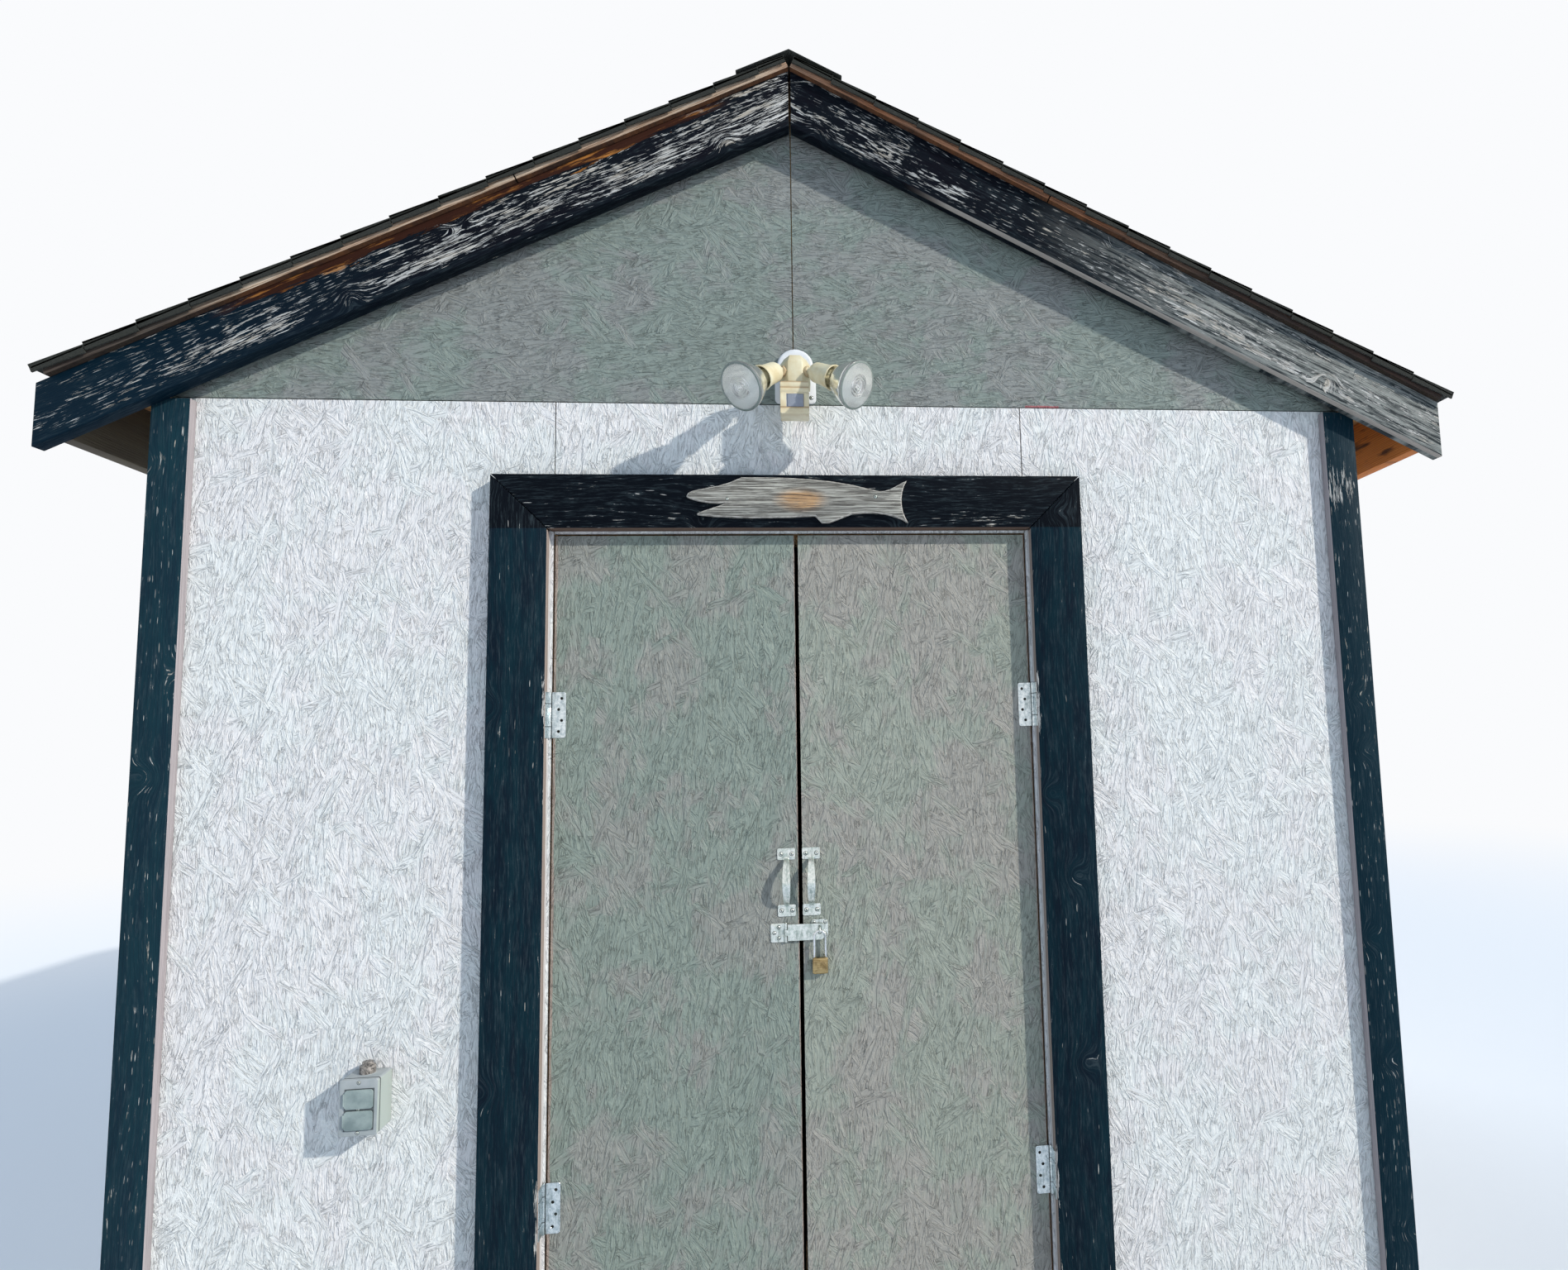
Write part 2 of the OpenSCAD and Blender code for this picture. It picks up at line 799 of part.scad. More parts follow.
// Wall plate of the twin lamp: a round cover over a screw tab
module lamp_plate() {
    cover_r = 48;
    round_r = 7;
    tab = [108, 70];
    tab_t = 9;
    tab_r = 12;
    tab_down = 63;
    color([0.9, 0.91, 0.92]) {
        translate([lamp_x, face_y, lamp_z]) rotate([90, 0, 0]) rotate_extrude() {
            square([cover_r - round_r, lamp_back]);
            square([cover_r, lamp_back - round_r]);
            translate([cover_r - round_r, lamp_back - round_r]) intersection() {
                circle(r = round_r);
                translate([-1, -1]) square(round_r + 1);
            }
        }
        translate([lamp_x, 0, lamp_z - tab_down]) wall_slab(face_y - tab_t, tab_t)
            rounded(tab[0], tab[1], tab_r);
    }
}

// Cast body of the lamp, with a facet at each side that carries an arm, and a
// sloping top
module lamp_body() {
    half_h = 37;
    gap = 0.1;
    up = 7;
    // Height and inset of the outline at the bottom, the shoulder and the top
    levels = [[-half_h, 0], [half_h * 0.45, 0], [half_h, 10]];
    color(cream) hull()
        for (level = levels)
            translate([lamp_x, face_y, arm_z + up + level[0]]) linear_extrude(0.1)
                polygon([
                    [-lamp_half + level[1], -lamp_back - gap],
                    [-lamp_half + level[1], -shoulder + level[1]],
                    [-nose_half + level[1] / 2, -lamp_front + level[1]],
                    [nose_half - level[1] / 2, -lamp_front + level[1]],
                    [lamp_half - level[1], -shoulder + level[1]],
                    [lamp_half - level[1], -lamp_back - gap]]);
}

// Each lamp's turn to the side and its tilt down, for the left and the right one
lamp_turns = [-40, 50];
lamp_tilts = [32, 27];
facet_a = atan2(lamp_front - shoulder, lamp_half - nose_half);
arm_l = 17;
lamp_reach = 163;

// Moves the children from a lamp's own frame, whose +Z runs back along the lamp from
// the middle of its lens, to its place on the arm
module at_lamp(i) {
    side = i == 0 ? -1 : 1;
    mid_x = (lamp_half + nose_half) / 2 + arm_l * sin(facet_a);
    mid_y = (lamp_front + shoulder) / 2 + arm_l * cos(facet_a);
    translate([lamp_x + side * mid_x, face_y - mid_y, arm_z])
        rotate([lamp_tilts[i] - 90, 0, lamp_turns[i]]) translate([0, 0, -lamp_reach]) children();
}

// Bell-shaped holders with a domed back, each on a threaded arm with a lock nut
module lamp_holders() {
    mouth = 83;
    neck = 104;
    floor_s = 135.5;
    dome = 140;
    mouth_r = 33;
    neck_r = 28;
    dome_r = 26;
    wall = 3;
    color(cream) for (i = [0, 1]) {
        difference() {
            union() {
                at_lamp(i) rotate_extrude()
                    polygon([
                        [0, mouth],
                        [mouth_r, mouth],
                        [neck_r, neck],
                        [dome_r, dome],
                        for (a = [15:15:90]) [dome_r * cos(a), dome + (lamp_reach - dome) * sin(a)]]);
                lamp_arm(i);
            }
            at_lamp(i) rotate_extrude()
                polygon([
                    [0, mouth - 1],
                    [mouth_r - wall, mouth - 1],
                    [neck_r - wall, neck],
                    [dome_r - wall, floor_s],
                    [0, floor_s]]);
        }
    }
}

// The arm of a lamp, square to its facet of the body, with the lock nut on it
module lamp_arm(i) {
    side = i == 0 ? -1 : 1;
    start = [lamp_x + side * (lamp_half + nose_half) / 2, face_y - (lamp_front + shoulder) / 2, arm_z];
    gap = 0.1;
    arm_r = 10;
    into_holder = 12;
    nut_r = 15;
    nut_h = 8;
    translate(start) rotate([90, 0, side * facet_a]) {
        translate([0, 0, gap]) cylinder(r = arm_r, h = arm_l + into_holder);
        translate([0, 0, gap + 1]) cylinder(r = nut_r, h = nut_h, $fn = 6);
    }
}

// Pressed reflector bulbs: a low dome of glass, a parabolic bowl, a neck and a
// screw base that stands on the floor of the holder
module lamp_bulbs() {
    rim = 8;
    bowl = 80;
    foot = 135;
    lens_r = bulb_d / 2;
    dome = 5;
    soft = 1.5;
    neck_r = 21.5;
    base_r = 13.2;
    tip_r = 5;
    fall = 1 - pow(neck_r / lens_r, 2);
    color([0.9, 0.9, 0.92]) for (i = [0, 1])
        at_lamp(i) rotate_extrude($fn = 72)
            polygon([
                for (r = [0:10:50]) [r, dome * pow(r / lens_r, 2) - dome],
                [lens_r - soft, 0],
                [lens_r, soft],
                [lens_r, rim],
                for (s = [0.08:0.115:1]) [lens_r * sqrt(1 - fall * s), rim + (bowl - rim) * s],
                [neck_r - 1, bowl + 18],
                [base_r, bowl + 25],
                [base_r, foot - 7],
                [tip_r, foot],
                [0, foot]]);
}

// Sensor head under the lamp: a grooved box with a bulged window
module motion_sensor() {
    size = [73, 58, 85];
    corner_r = 4;
    middle_x = lamp_x - 2;
    top = arm_z - 35;
    front_y = face_y - 103;
    grooves = [13, 30, 70];
    groove = [1.5, 2];
    stem = [12, 4.9];
    window = [44, 34];
    window_z = top - 50;
    bulge_r = 60;
    color(cream) {
        difference() {
            translate([middle_x, 0, top - size[2] / 2]) wall_slab(front_y, size[1])
                rounded(size[0], size[2], corner_r);
            for (down = grooves)
                translate([middle_x - size[0], front_y - 1, top - down - groove[1] / 2])
                    cube([2 * size[0], groove[0] + 1, groove[1]]);
            translate([lamp_x - window[0] / 2, front_y - 1, window_z - window[1] / 2])
                cube([window[0], 5, window[1]]);
        }
        translate([lamp_x, front_y + size[1] / 2 - 4, top]) cylinder(r = stem[0], h = stem[1]);
    }
    color([0.55, 0.6, 0.68]) intersection() {
        translate([lamp_x, front_y + bulge_r - 2, window_z - window[1] / 2 + play])
            cylinder(r = bulge_r, h = window[1] - 2 * play, $fn = 96);
        translate([lamp_x - window[0] / 2 + play, front_y - 3, window_z - window[1] / 2])
            cube([window[0] - 2 * play, 7 - play, window[1]]);
    }
}

outlet_w = 84;
outlet_h = 123;
outlet_front = face_y - 75;
// Heights of the two sockets from the middle of the box
sockets = [-27, 19];

// Weatherproof outlet box, with a hub for a pipe on top and a cover on a gasket
module outlet_box() {
    cover_t = 11;
    cover_r = 6;
    gasket = 2.5;
    groove = 2;
    socket_r = 17.5;
    hub = [17, 19];
    nut = [13, 9];
    hub_y = face_y - 30;
    hub_z = outlet_z + outlet_h / 2 - 1;
    cover_y = outlet_front + 4;
    body_y = cover_y + cover_t + gasket;
    color([0.6, 0.62, 0.63]) {
        translate([outlet_x, 0, outlet_z]) {
            wall_slab(body_y, face_y - body_y) rounded(outlet_w, outlet_h, cover_r);
            wall_slab(body_y - gasket, gasket)
                rounded(outlet_w - 2 * groove, outlet_h - 2 * groove, cover_r - 1);
            wall_slab(cover_y, cover_t) difference() {
                rounded(outlet_w, outlet_h, cover_r);
                for (z = sockets) translate([0, z]) circle(r = socket_r);
            }
        }
        translate([outlet_x, hub_y, hub_z]) cylinder(r = hub[0], h = hub[1]);
        translate([outlet_x, hub_y, hub_z + hub[1] - 1]) cylinder(r = nut[0], h = nut[1], $fn = 6);
    }
}

// Two flaps over the sockets, each with a hinge barrel at its left edge
module outlet_lids() {
    lid = [62, 42];
    lid_t = 3.8;
    lid_r = 7;
    right = 2;
    barrel_r = 2.6;
    barrel_h = 28;
    color([0.65, 0.67, 0.68])
        for (z = sockets)
            translate([outlet_x + right, 0, outlet_z + z]) {
                wall_slab(outlet_front, lid_t) rounded(lid[0], lid[1], lid_r);
                translate([-lid[0] / 2 - 1, outlet_front + 1.1, -barrel_h / 2])
                    cylinder(r = barrel_r, h = barrel_h);
            }
}

skids();
floor_joists();
floor_boards();
sole_plates();
wall_studs();
top_plates();
tie_plates();
door_header();
gable_studs();
front_wall();
side_walls();
back_wall();
gable_walls();
ridge_board();
rafters();
roof_boards();
shingles();
ridge_caps();
barge_boards();
rake_strips();
eave_fascias();
end_corner_boards();
side_corner_boards();
door_casing();
door_stops();
fixed_hinge_leaves();
fish_plaque();
lamp_plate();
lamp_body();
lamp_holders();
lamp_bulbs();
motion_sensor();
outlet_box();
outlet_lids();
left_leaf();
left_leaf_frame();
left_hinge_leaves();
left_handle();
hasp();
padlock();
right_leaf();
right_leaf_frame();
right_hinge_leaves();
right_handle();
staple_plate();
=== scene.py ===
import random
from math import atan, cos, pi, radians, sin, sqrt

import bmesh
import bpy
from mathutils import Matrix, Vector


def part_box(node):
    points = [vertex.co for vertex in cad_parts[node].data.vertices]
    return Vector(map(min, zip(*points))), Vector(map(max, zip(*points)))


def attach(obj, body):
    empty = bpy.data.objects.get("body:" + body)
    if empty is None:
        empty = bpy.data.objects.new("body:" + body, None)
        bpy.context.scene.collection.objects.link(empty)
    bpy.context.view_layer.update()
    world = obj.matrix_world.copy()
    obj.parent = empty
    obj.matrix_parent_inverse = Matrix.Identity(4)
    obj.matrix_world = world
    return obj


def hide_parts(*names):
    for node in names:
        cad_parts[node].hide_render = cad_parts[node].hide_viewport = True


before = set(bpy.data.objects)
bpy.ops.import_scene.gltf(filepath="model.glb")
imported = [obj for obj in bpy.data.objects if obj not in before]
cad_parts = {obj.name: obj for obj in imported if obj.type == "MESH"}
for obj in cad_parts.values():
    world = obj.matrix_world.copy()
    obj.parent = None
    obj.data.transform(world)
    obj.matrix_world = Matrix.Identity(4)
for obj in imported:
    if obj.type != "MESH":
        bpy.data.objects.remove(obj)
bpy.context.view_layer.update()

# Camera
# It stands before the doors at a person's eye height, where the photograph was taken,
# turned a little to the right and up, with the wide lens of the photograph.
scene = bpy.context.scene
picture_w, picture_h = 1897, 1536
eye = Vector((0.02, -3.8394, 1.672))
turn, lift, lean = radians(6.022), radians(5.649), radians(-1.455)
focal_px, view_reach = 1076.15, 200
axis_px = Vector((1086.8, 772.2))
move, rotate = Matrix.Translation, Matrix.Rotation


def linked(name, data):
    """A new object in the scene."""
    made = bpy.data.objects.new(name, data)
    scene.collection.objects.link(made)
    return made


look = Vector((sin(turn) * cos(lift), cos(turn) * cos(lift), sin(lift)))
camera = linked("camera", bpy.data.cameras.new("camera"))
camera.data.sensor_fit = "HORIZONTAL"
camera.data.lens = camera.data.sensor_width * focal_px / picture_w
camera.data.shift_x = (picture_w / 2 - axis_px.x) / picture_w
camera.data.shift_y = (axis_px.y - picture_h / 2) / picture_w
camera.data.clip_end = view_reach
camera.matrix_world = (move(eye) @ look.to_track_quat("-Z", "Y").to_matrix().to_4x4() @ rotate(lean, 4, "Z"))
scene.camera = camera
scene.view_settings.view_transform = "Standard"

# Studio floor and backdrop
# A pale floor under the hut that fades into a white surround, so that only the hut's
# own shadow and reflections show on it.


def math_node(operation):
    """A method of fields that makes a node for one kind of sum."""
    return lambda *values: calc(operation, *values)


class Field:
    """A value that differs over a surface. Sums with it become nodes of its tree."""

    def __init__(self, socket):
        self.socket = socket
        self.tree = socket.id_data

    __add__ = math_node("ADD")
    __sub__ = math_node("SUBTRACT")
    __mul__ = math_node("MULTIPLY")
    __truediv__ = math_node("DIVIDE")
    __pow__ = math_node("POWER")
    __abs__ = math_node("ABSOLUTE")
    __lt__ = math_node("LESS_THAN")
    __gt__ = math_node("GREATER_THAN")

    def __rsub__(self, other):
        return calc("SUBTRACT", other, self)


class Gives:
    """What a node gives, each of its outputs by name or number as a field."""

    def __init__(self, node):
        self.node = node

    def __getitem__(self, key):
        return Field(self.node.outputs[key])


def feed(node, values):
    """Joins fields to the inputs of a node, and sets plain values on them."""
    for name, value in values.items():
        socket = node.inputs[name]
        if isinstance(value, Field):
            value.tree.links.new(value.socket, socket)
        else:
            socket.default_value = (*value, 1) if socket.type == "RGBA" else value


def add(kind, inputs, tree=None, **settings):
    """A node with its inputs and settings, in a tree or else in that of the fields it takes."""
    tree = tree or next(value.tree for value in inputs.values() if isinstance(value, Field))
    made = tree.nodes.new("ShaderNode" + kind)
    for name, value in settings.items():
        setattr(made, name, value)
    feed(made, inputs)
    return Gives(made)


def calc(operation, *values):
    """A sum of numbers, by its node's name for it."""
    return add("Math", dict(enumerate(values)), operation=operation)[0]


def most(*values):
    return calc("MAXIMUM", *values)


def vector(operation, *values):
    """A sum of points or colours, by its node's name for it."""
    made = add("VectorMath", dict(enumerate(values)), operation=operation)
    return made["Value" if operation in ("LENGTH", "DOT_PRODUCT") else "Vector"]


def axes(place):
    return add("SeparateXYZ", {0: place})


def spread(value, low, high, start=0, end=1, kind="LINEAR"):
    """The value's place between low and high, as a number from start to end."""
    inputs = {"Value": value, "From Min": low, "From Max": high, "To Min": start, "To Max": end}
    return add("MapRange", inputs, interpolation_type=kind)[0]


def choose(share, under, over, kind="FLOAT", way="MIX", tree=None):
    """What lies over where the share is 1, and what lies under where it is 0."""
    place = ("FLOAT", "VECTOR", "RGBA").index(kind)
    inputs = {0: share, 2 * place + 2: under, 2 * place + 3: over}
    return add("Mix", inputs, tree, data_type=kind, blend_type=way)[place]


def tint(share, under, over, way="MIX", tree=None):
    """One colour laid over another by a share."""
    return choose(share, under, over, "RGBA", way, tree)


def rgb(red, green, blue):
    """A colour given as it looks, from 0 to 255, in the renderer's linear values."""
    values = [v / 255 for v in (red, green, blue)]
    return tuple(v / 12.92 if v < 0.04045 else ((v + 0.055) / 1.055) ** 2.4 for v in values)


def point_on(finish):
    """The point in the frame of the piece that has a finish, whole and as its three axes."""
    place = add("TexCoord", {}, finish.node_tree)["Object"]
    return place, axes(place)


def finish_named(name):
    """A new material, and the point on its piece."""
    made = bpy.data.materials.new(name)
    made.use_nodes = True
    return made, *point_on(made)


def coat(finish, colour, rough=None, height=None, depth=0, **more):
    """Gives a finish its colour, roughness and relief, a height from 0 to 1 and its depth in metres."""
    shader = finish.node_tree.nodes["Principled BSDF"]
    feed(shader, {"Base Color": colour, **more})
    if rough is not None:
        feed(shader, {"Roughness": rough})
    if height is not None:
        bump = add("Bump", {"Height": height, "Distance": depth, "Strength": 1})
        feed(shader, {"Normal": bump[0]})


def seen_from_camera(tree):
    """1 for the rays that the camera sees, itself or in a reflection or through glass."""
    rays = add("LightPath", {}, tree)
    return most(most(rays["Is Camera Ray"], rays["Is Glossy Ray"]), rays["Is Transmission Ray"])


surround = rgb(250, 251, 253)
floor_r, fade_from, fade_to = 90, 4.5, 14
floor_mesh = bmesh.new()
bmesh.ops.create_circle(floor_mesh, cap_ends=True, radius=floor_r, segments=64)
floor_data = bpy.data.meshes.new("studio_floor")
floor_mesh.to_mesh(floor_data)
studio_floor = linked("studio_floor", floor_data)
floor_finish, place, _ = finish_named("studio_floor")
coat(floor_finish, rgb(226, 229, 233), 0.9)
far = spread(vector("LENGTH", place), fade_from, fade_to, kind="SMOOTHSTEP")
tree = floor_finish.node_tree
near_shade = Gives(tree.nodes["Principled BSDF"])
glow = add("Emission", {"Color": surround, "Strength": 1}, tree)
faded = add("MixShader", {0: far * seen_from_camera(tree), 1: near_shade[0], 2: glow[0]})
feed(tree.nodes["Material Output"], {"Surface": faded[0]})
floor_data.materials.append(floor_finish)

# Studio light
# One main lamp from the right and above, where the light of the photograph comes from,
# a weak wide one from behind, and an even white surround.
world = bpy.data.worlds.new("surround")
scene.world = world
world.use_nodes = True
tree = world.node_tree
feed(tree.nodes["Background"], {"Color": rgb(196, 222, 250), "Strength": 0.6})
even = Gives(tree.nodes["Background"])
backdrop = add("Background", {"Color": surround, "Strength": 1}, tree)
around = add("MixShader", {0: seen_from_camera(tree), 1: even[0], 2: backdrop[0]})
feed(tree.nodes["World Output"], {"Surface": around[0]})


def lamp(name, travel, strength, spread_deg, colour):
    """A distant softbox whose light travels along the given direction."""
    light = bpy.data.lights.new(name, "SUN")
    light.energy, light.angle, light.color = strength, radians(spread_deg), colour
    made = linked(name, light)
    made.rotation_mode = "QUATERNION"
    made.rotation_quaternion = Vector(travel).to_track_quat("-Z", "Y")


lamp("main_light", (-0.75, 0.49, -0.48), 3.2, 1.4, (1, 0.95, 0.87))
lamp("rear_light", (0.45, -0.8, -0.5), 1.3, 30, (0.96, 0.98, 1))

# Skids, joists and framing
# Rough-sawn spruce, cut square and nailed together. The studs stay dry and pale inside;
# the skids and the outer boards have gone brown and grey in the weather.


def group(name, takes, gives):
    """A node group: its tree, the fields it takes (with None a vector), and the node for what it gives."""
    tree = bpy.data.node_groups.new(name, "ShaderNodeTree")
    for socket, value in takes:
        kind = "NodeSocketVector" if value is None else "NodeSocketFloat"
        made = tree.interface.new_socket(socket, in_out="INPUT", socket_type=kind)
        if value is not None:
            made.default_value = value
    for socket in gives:
        tree.interface.new_socket(socket, in_out="OUTPUT", socket_type="NodeSocketFloat")
    return tree, Gives(tree.nodes.new("NodeGroupInput")), tree.nodes.new("NodeGroupOutput")


def placed(place, scale=(1, 1, 1), turned=(0, 0, 0), moved=(0, 0, 0)):
    return add("Mapping", {"Vector": place, "Scale": scale, "Rotation": turned, "Location": moved})[0]


def noise(place, scale=1, detail=3, roughness=0.5, distortion=0):
    inputs = {"Vector": place, "Scale": scale, "Detail": detail, "Roughness": roughness,
              "Distortion": distortion}
    return add("TexNoise", inputs)[0]


def dice(number):
    """Random values, one set for each number."""
    return add("TexWhiteNoise", {"W": number}, noise_dimensions="1D")


def point(x, y, z):
    return add("CombineXYZ", {0: x, 1: y, 2: z})[0]


# Growth rings, fibres and knots of sawn timber. X runs along the grain, Y across the face.
grain, takes, gives = group(
    "sawn_grain", [("Vector", None), ("Board", 0), ("Ring Width", 0.007)],
    ["Rings", "Fibre", "Knot", "Contour"])
shift = vector("MULTIPLY", dice(takes["Board"])["Color"], (40, 0.15, 0.05))
timber = vector("ADD", takes["Vector"], shift)
along, across, through = axes(timber)
pith = -0.02
knot_places = {"Vector": point(along, across, 0), "Scale": 3.4, "Randomness": 0.9}
knots = add("TexVoronoi", knot_places, voronoi_dimensions="2D")
knot_r = knots["Distance"] / 3.4 + noise(timber, 90, 1) * 0.004
near = calc("EXPONENT", (knot_r / 0.03) ** 2 * -1)
wander = noise(placed(timber, (1.1, 6, 6)), 1, 2) * 0.1
heart = abs(across - pith) + wander + through + near * 0.035
ring = calc("FRACT", heart / takes["Ring Width"])
feed(gives, {"Rings": ring ** 2.2 * spread(ring, 0.94, 1, 1, 0),
             "Fibre": noise(placed(timber, (5, 420, 420)), 1, 3, 0.6),
             "Knot": spread(knot_r, 0.008, 0.012, 1, 0), "Contour": heart})


def sawn_finish(name, axis, pale, dark, knot_colour, cell, grey=0):
    """Bare sawn timber with its grain along one axis. Each cell of space is another board."""
    made, place, (x, y, z) = finish_named(name)
    seed = vector("DOT_PRODUCT", vector("SNAP", place, cell), (13.1, 7.7, 29.3))
    length_first = point(*{"X": (x, z, y), "Y": (y, x, z), "Z": (z, x, y)}[axis])
    wood = add("Group", {"Vector": length_first, "Board": seed}, node_tree=grain)
    colour = tint(wood["Rings"] * 0.75, pale, dark)
    colour = tint(spread(wood["Fibre"], 0.45, 0.75, 0, 0.45), colour, dark)
    colour = tint(wood["Knot"], colour, knot_colour)
    colour = tint(spread(dice(seed + 5)["Value"], 0, 1, 0, 0.3), colour, dark, "MULTIPLY")
    weather = spread(noise(place, 2.3, 5, 0.65), 0.62 - grey * 0.45, 0.8 - grey * 0.3)
    colour = tint(weather * min(1, 0.4 + grey), colour, rgb(132, 124, 114))
    coat(made, colour, spread(wood["Fibre"], 0.3, 0.8, 0.62, 0.85),
         wood["Rings"] * 0.5 + wood["Fibre"] * 0.8, 0.0008)
    return made


def dress(node, finish):
    """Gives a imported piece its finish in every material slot."""
    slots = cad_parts[node].data.materials
    slots.clear()
    slots.append(finish)


spruce, spruce_dark, knot_brown = rgb(214, 182, 134), rgb(168, 122, 74), rgb(96, 56, 32)
brown, brown_dark = rgb(150, 112, 74), rgb(92, 62, 40)
stud_wood = sawn_finish("spruce_upright", "Z", spruce, spruce_dark, knot_brown, (0.2, 0.2, 9))
for node in ("wall_studs", "gable_studs", "left_leaf_frame", "right_leaf_frame"):
    dress(node, stud_wood)
cross = sawn_finish("spruce_across", "X", spruce, spruce_dark, knot_brown, (9, 0.25, 0.25))
for node in ("floor_joists", "top_plates", "tie_plates", "sole_plates", "door_header", "rafters",
             "door_stops"):
    dress(node, cross)
dress("ridge_board", sawn_finish("spruce_lengthwise", "Y", spruce, spruce_dark, knot_brown, (0.5, 9, 0.5)))
dress("skids", sawn_finish("weathered_lengthwise", "Y", brown, brown_dark, knot_brown, (0.3, 9, 0.2), 0.7))

# Wall sheets
# Oriented strand board, 11 mm thick, nailed to the studs. The lower walls are brushed
# with white paint and the gables with grey, and the strands show through both coats.


def least(*values):
    return calc("MINIMUM", *values)


# Wafers of wood pressed in layers, each laid a little askew over those beneath. Only here
# and there has the end or side of one lifted. Y runs along the sheet.
strands, takes, gives = group("strand_board", [("Vector", None)], ["Height", "Tone", "Crack", "Fibre"])
drift = add("TexNoise", {"Vector": takes["Vector"], "Scale": 7, "Detail": 2})["Color"]
sheet = vector("ADD", takes["Vector"], vector("MULTIPLY", drift, (0.03, 0.02, 0)))
layers = ((3, 0.15, 0.034, 1), (63, 0.10, 0.026, 0.3), (-17, 0.14, 0.030, 0.6), (-47, 0.11, 0.026, 0.3),
          (14, 0.15, 0.030, 0.6))
wafer = None
for turn_deg, length, width, share in layers:
    pitch_w, pitch_l = width * 1.35, length * 1.1
    rotated = placed(sheet, turned=(0, 0, radians(turn_deg)), moved=(turn_deg, 1.7, 0))
    flat = placed(rotated, (1 / pitch_w, 1 / pitch_l, 0))
    cell = add("TexVoronoi", {"Vector": flat, "Scale": 1}, voronoi_dimensions="2D")
    inner = vector("MULTIPLY", vector("SUBTRACT", flat, cell["Position"]), (pitch_w, pitch_l, 0))
    skew, wide, keep = axes(cell["Color"])
    askew = {"Vector": inner, "Angle": spread(skew, 0, 1, -0.2, 0.2)}
    across, along, _ = axes(add("VectorRotate", askew, rotation_type="Z_AXIS")[0])
    side = spread(wide, 0, 1, width * 0.3, width * 0.6) - abs(across)
    end = length * 0.46 - abs(along + across * 0.5)
    inset = least(side, end)
    here = point(across, along, keep + turn_deg)
    if wafer is None:
        wafer, rim, level = here, abs(inset), keep * 0.2
        continue
    laid = (inset > 0) * (keep < share)
    wafer = choose(laid, wafer, here, "VECTOR")
    rim = choose(laid, rim, inset)
    level = choose(laid, level, wide * 0.35 + 0.1)
across, along, number = axes(wafer)
luck = axes(dice(number)["Color"])
own = point(across * 105, along * 18, number * 37)
ridges = noise(own, 1, 3, 0.6, 0.5)
hair = noise(placed(own, (3.4, 2.2, 1)), 1, 2, 0.6)
torn = spread(ridges, 0.44, 0.56)
lifted = noise(takes["Vector"], 30, 3, 0.65)
split = spread(abs(ridges - 0.5) / 0.014, 0, 1, 1, 0)
gap = spread(rim / 0.0018, 0, 1, 1, 0)
crack = most(split * spread(lifted, 0.42, 0.68, 0.1, 0.9), gap * spread(lifted, 0.52, 0.6, 0, 0.6))
height = level + across * spread(luck[1], 0, 1, -12, 12) + torn * spread(lifted, 0.4, 0.64, 0.6, 1.2)
feed(gives, {"Height": height + hair * 0.75 - crack * 0.5, "Tone": luck[2], "Crack": crack, "Fibre": hair})


def board_finish(name, across, paint, patch, crack_shade, inside=None, worn_edge=None):
    """Painted strand board. Across is the axis along a sheet's width and patch the paint's colour on some
    strands. The crack lines are darkened by the given share, as painted shade inside them. Inside tells
    where the bare inner face is. The paint has gone from within the first worn edge, measured from the
    middle, and past the second."""
    made, place, (x, y, z) = finish_named(name)
    sheet = point(*{"X": (x, z, 0), "Y": (y, z, 0), "Z": (z, x, 0)}[across])
    board = add("Group", {"Vector": sheet}, node_tree=strands)
    tone, fibre = board["Tone"], board["Fibre"]
    cloud = noise(placed(place, moved=(4, 9, 2)), 9, 4, 0.6)
    colour = tint(spread(tone * 0.1 + noise(place, 5, 4, 0.6), 0.5, 0.62), paint, patch)
    shade = spread(tone, 0, 1, 0.97, 1.01) * spread(fibre, 0.3, 0.7, 0.93, 1.04)
    # The crack lines are darkened, as painted shade inside them.
    shade = shade * spread(board["Crack"], 0, 0.9, 1, 1 - crack_shade)
    colour = tint(1, colour, point(shade, shade, shade), "MULTIPLY")
    raw = tint(tone, rgb(214, 178, 120), rgb(166, 122, 72))
    raw = tint(spread(fibre, 0.4, 0.8, 0, 0.5), raw, rgb(120, 82, 48))
    if worn_edge:
        half = abs(x) + (cloud - 0.5) * 0.008
        worn = most(half < worn_edge[0], half > worn_edge[1])
        colour = tint(worn * 0.8, colour, rgb(158, 140, 130))
    if inside:
        colour = tint(inside(x, y), colour, raw)
    coat(made, colour, spread(fibre, 0.3, 0.8, 0.5, 0.72), board["Height"], 0.0034)
    return made


def coat_of(finish):
    """The colour that a finish has so far, and the point on its piece."""
    socket = finish.node_tree.nodes["Principled BSDF"].inputs["Base Color"].links[0].from_socket
    return Field(socket), *point_on(finish)


white, white_patch = rgb(229, 232, 231), rgb(230, 229, 229)
grey, grey_patch = rgb(131, 143, 137), rgb(136, 140, 138)
front_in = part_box("front_wall")[1].y
side_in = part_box("sole_plates")[1].x
back_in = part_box("back_wall")[0].y
skin = 0.0005


def front_inside(x, y):
    return y > front_in - skin


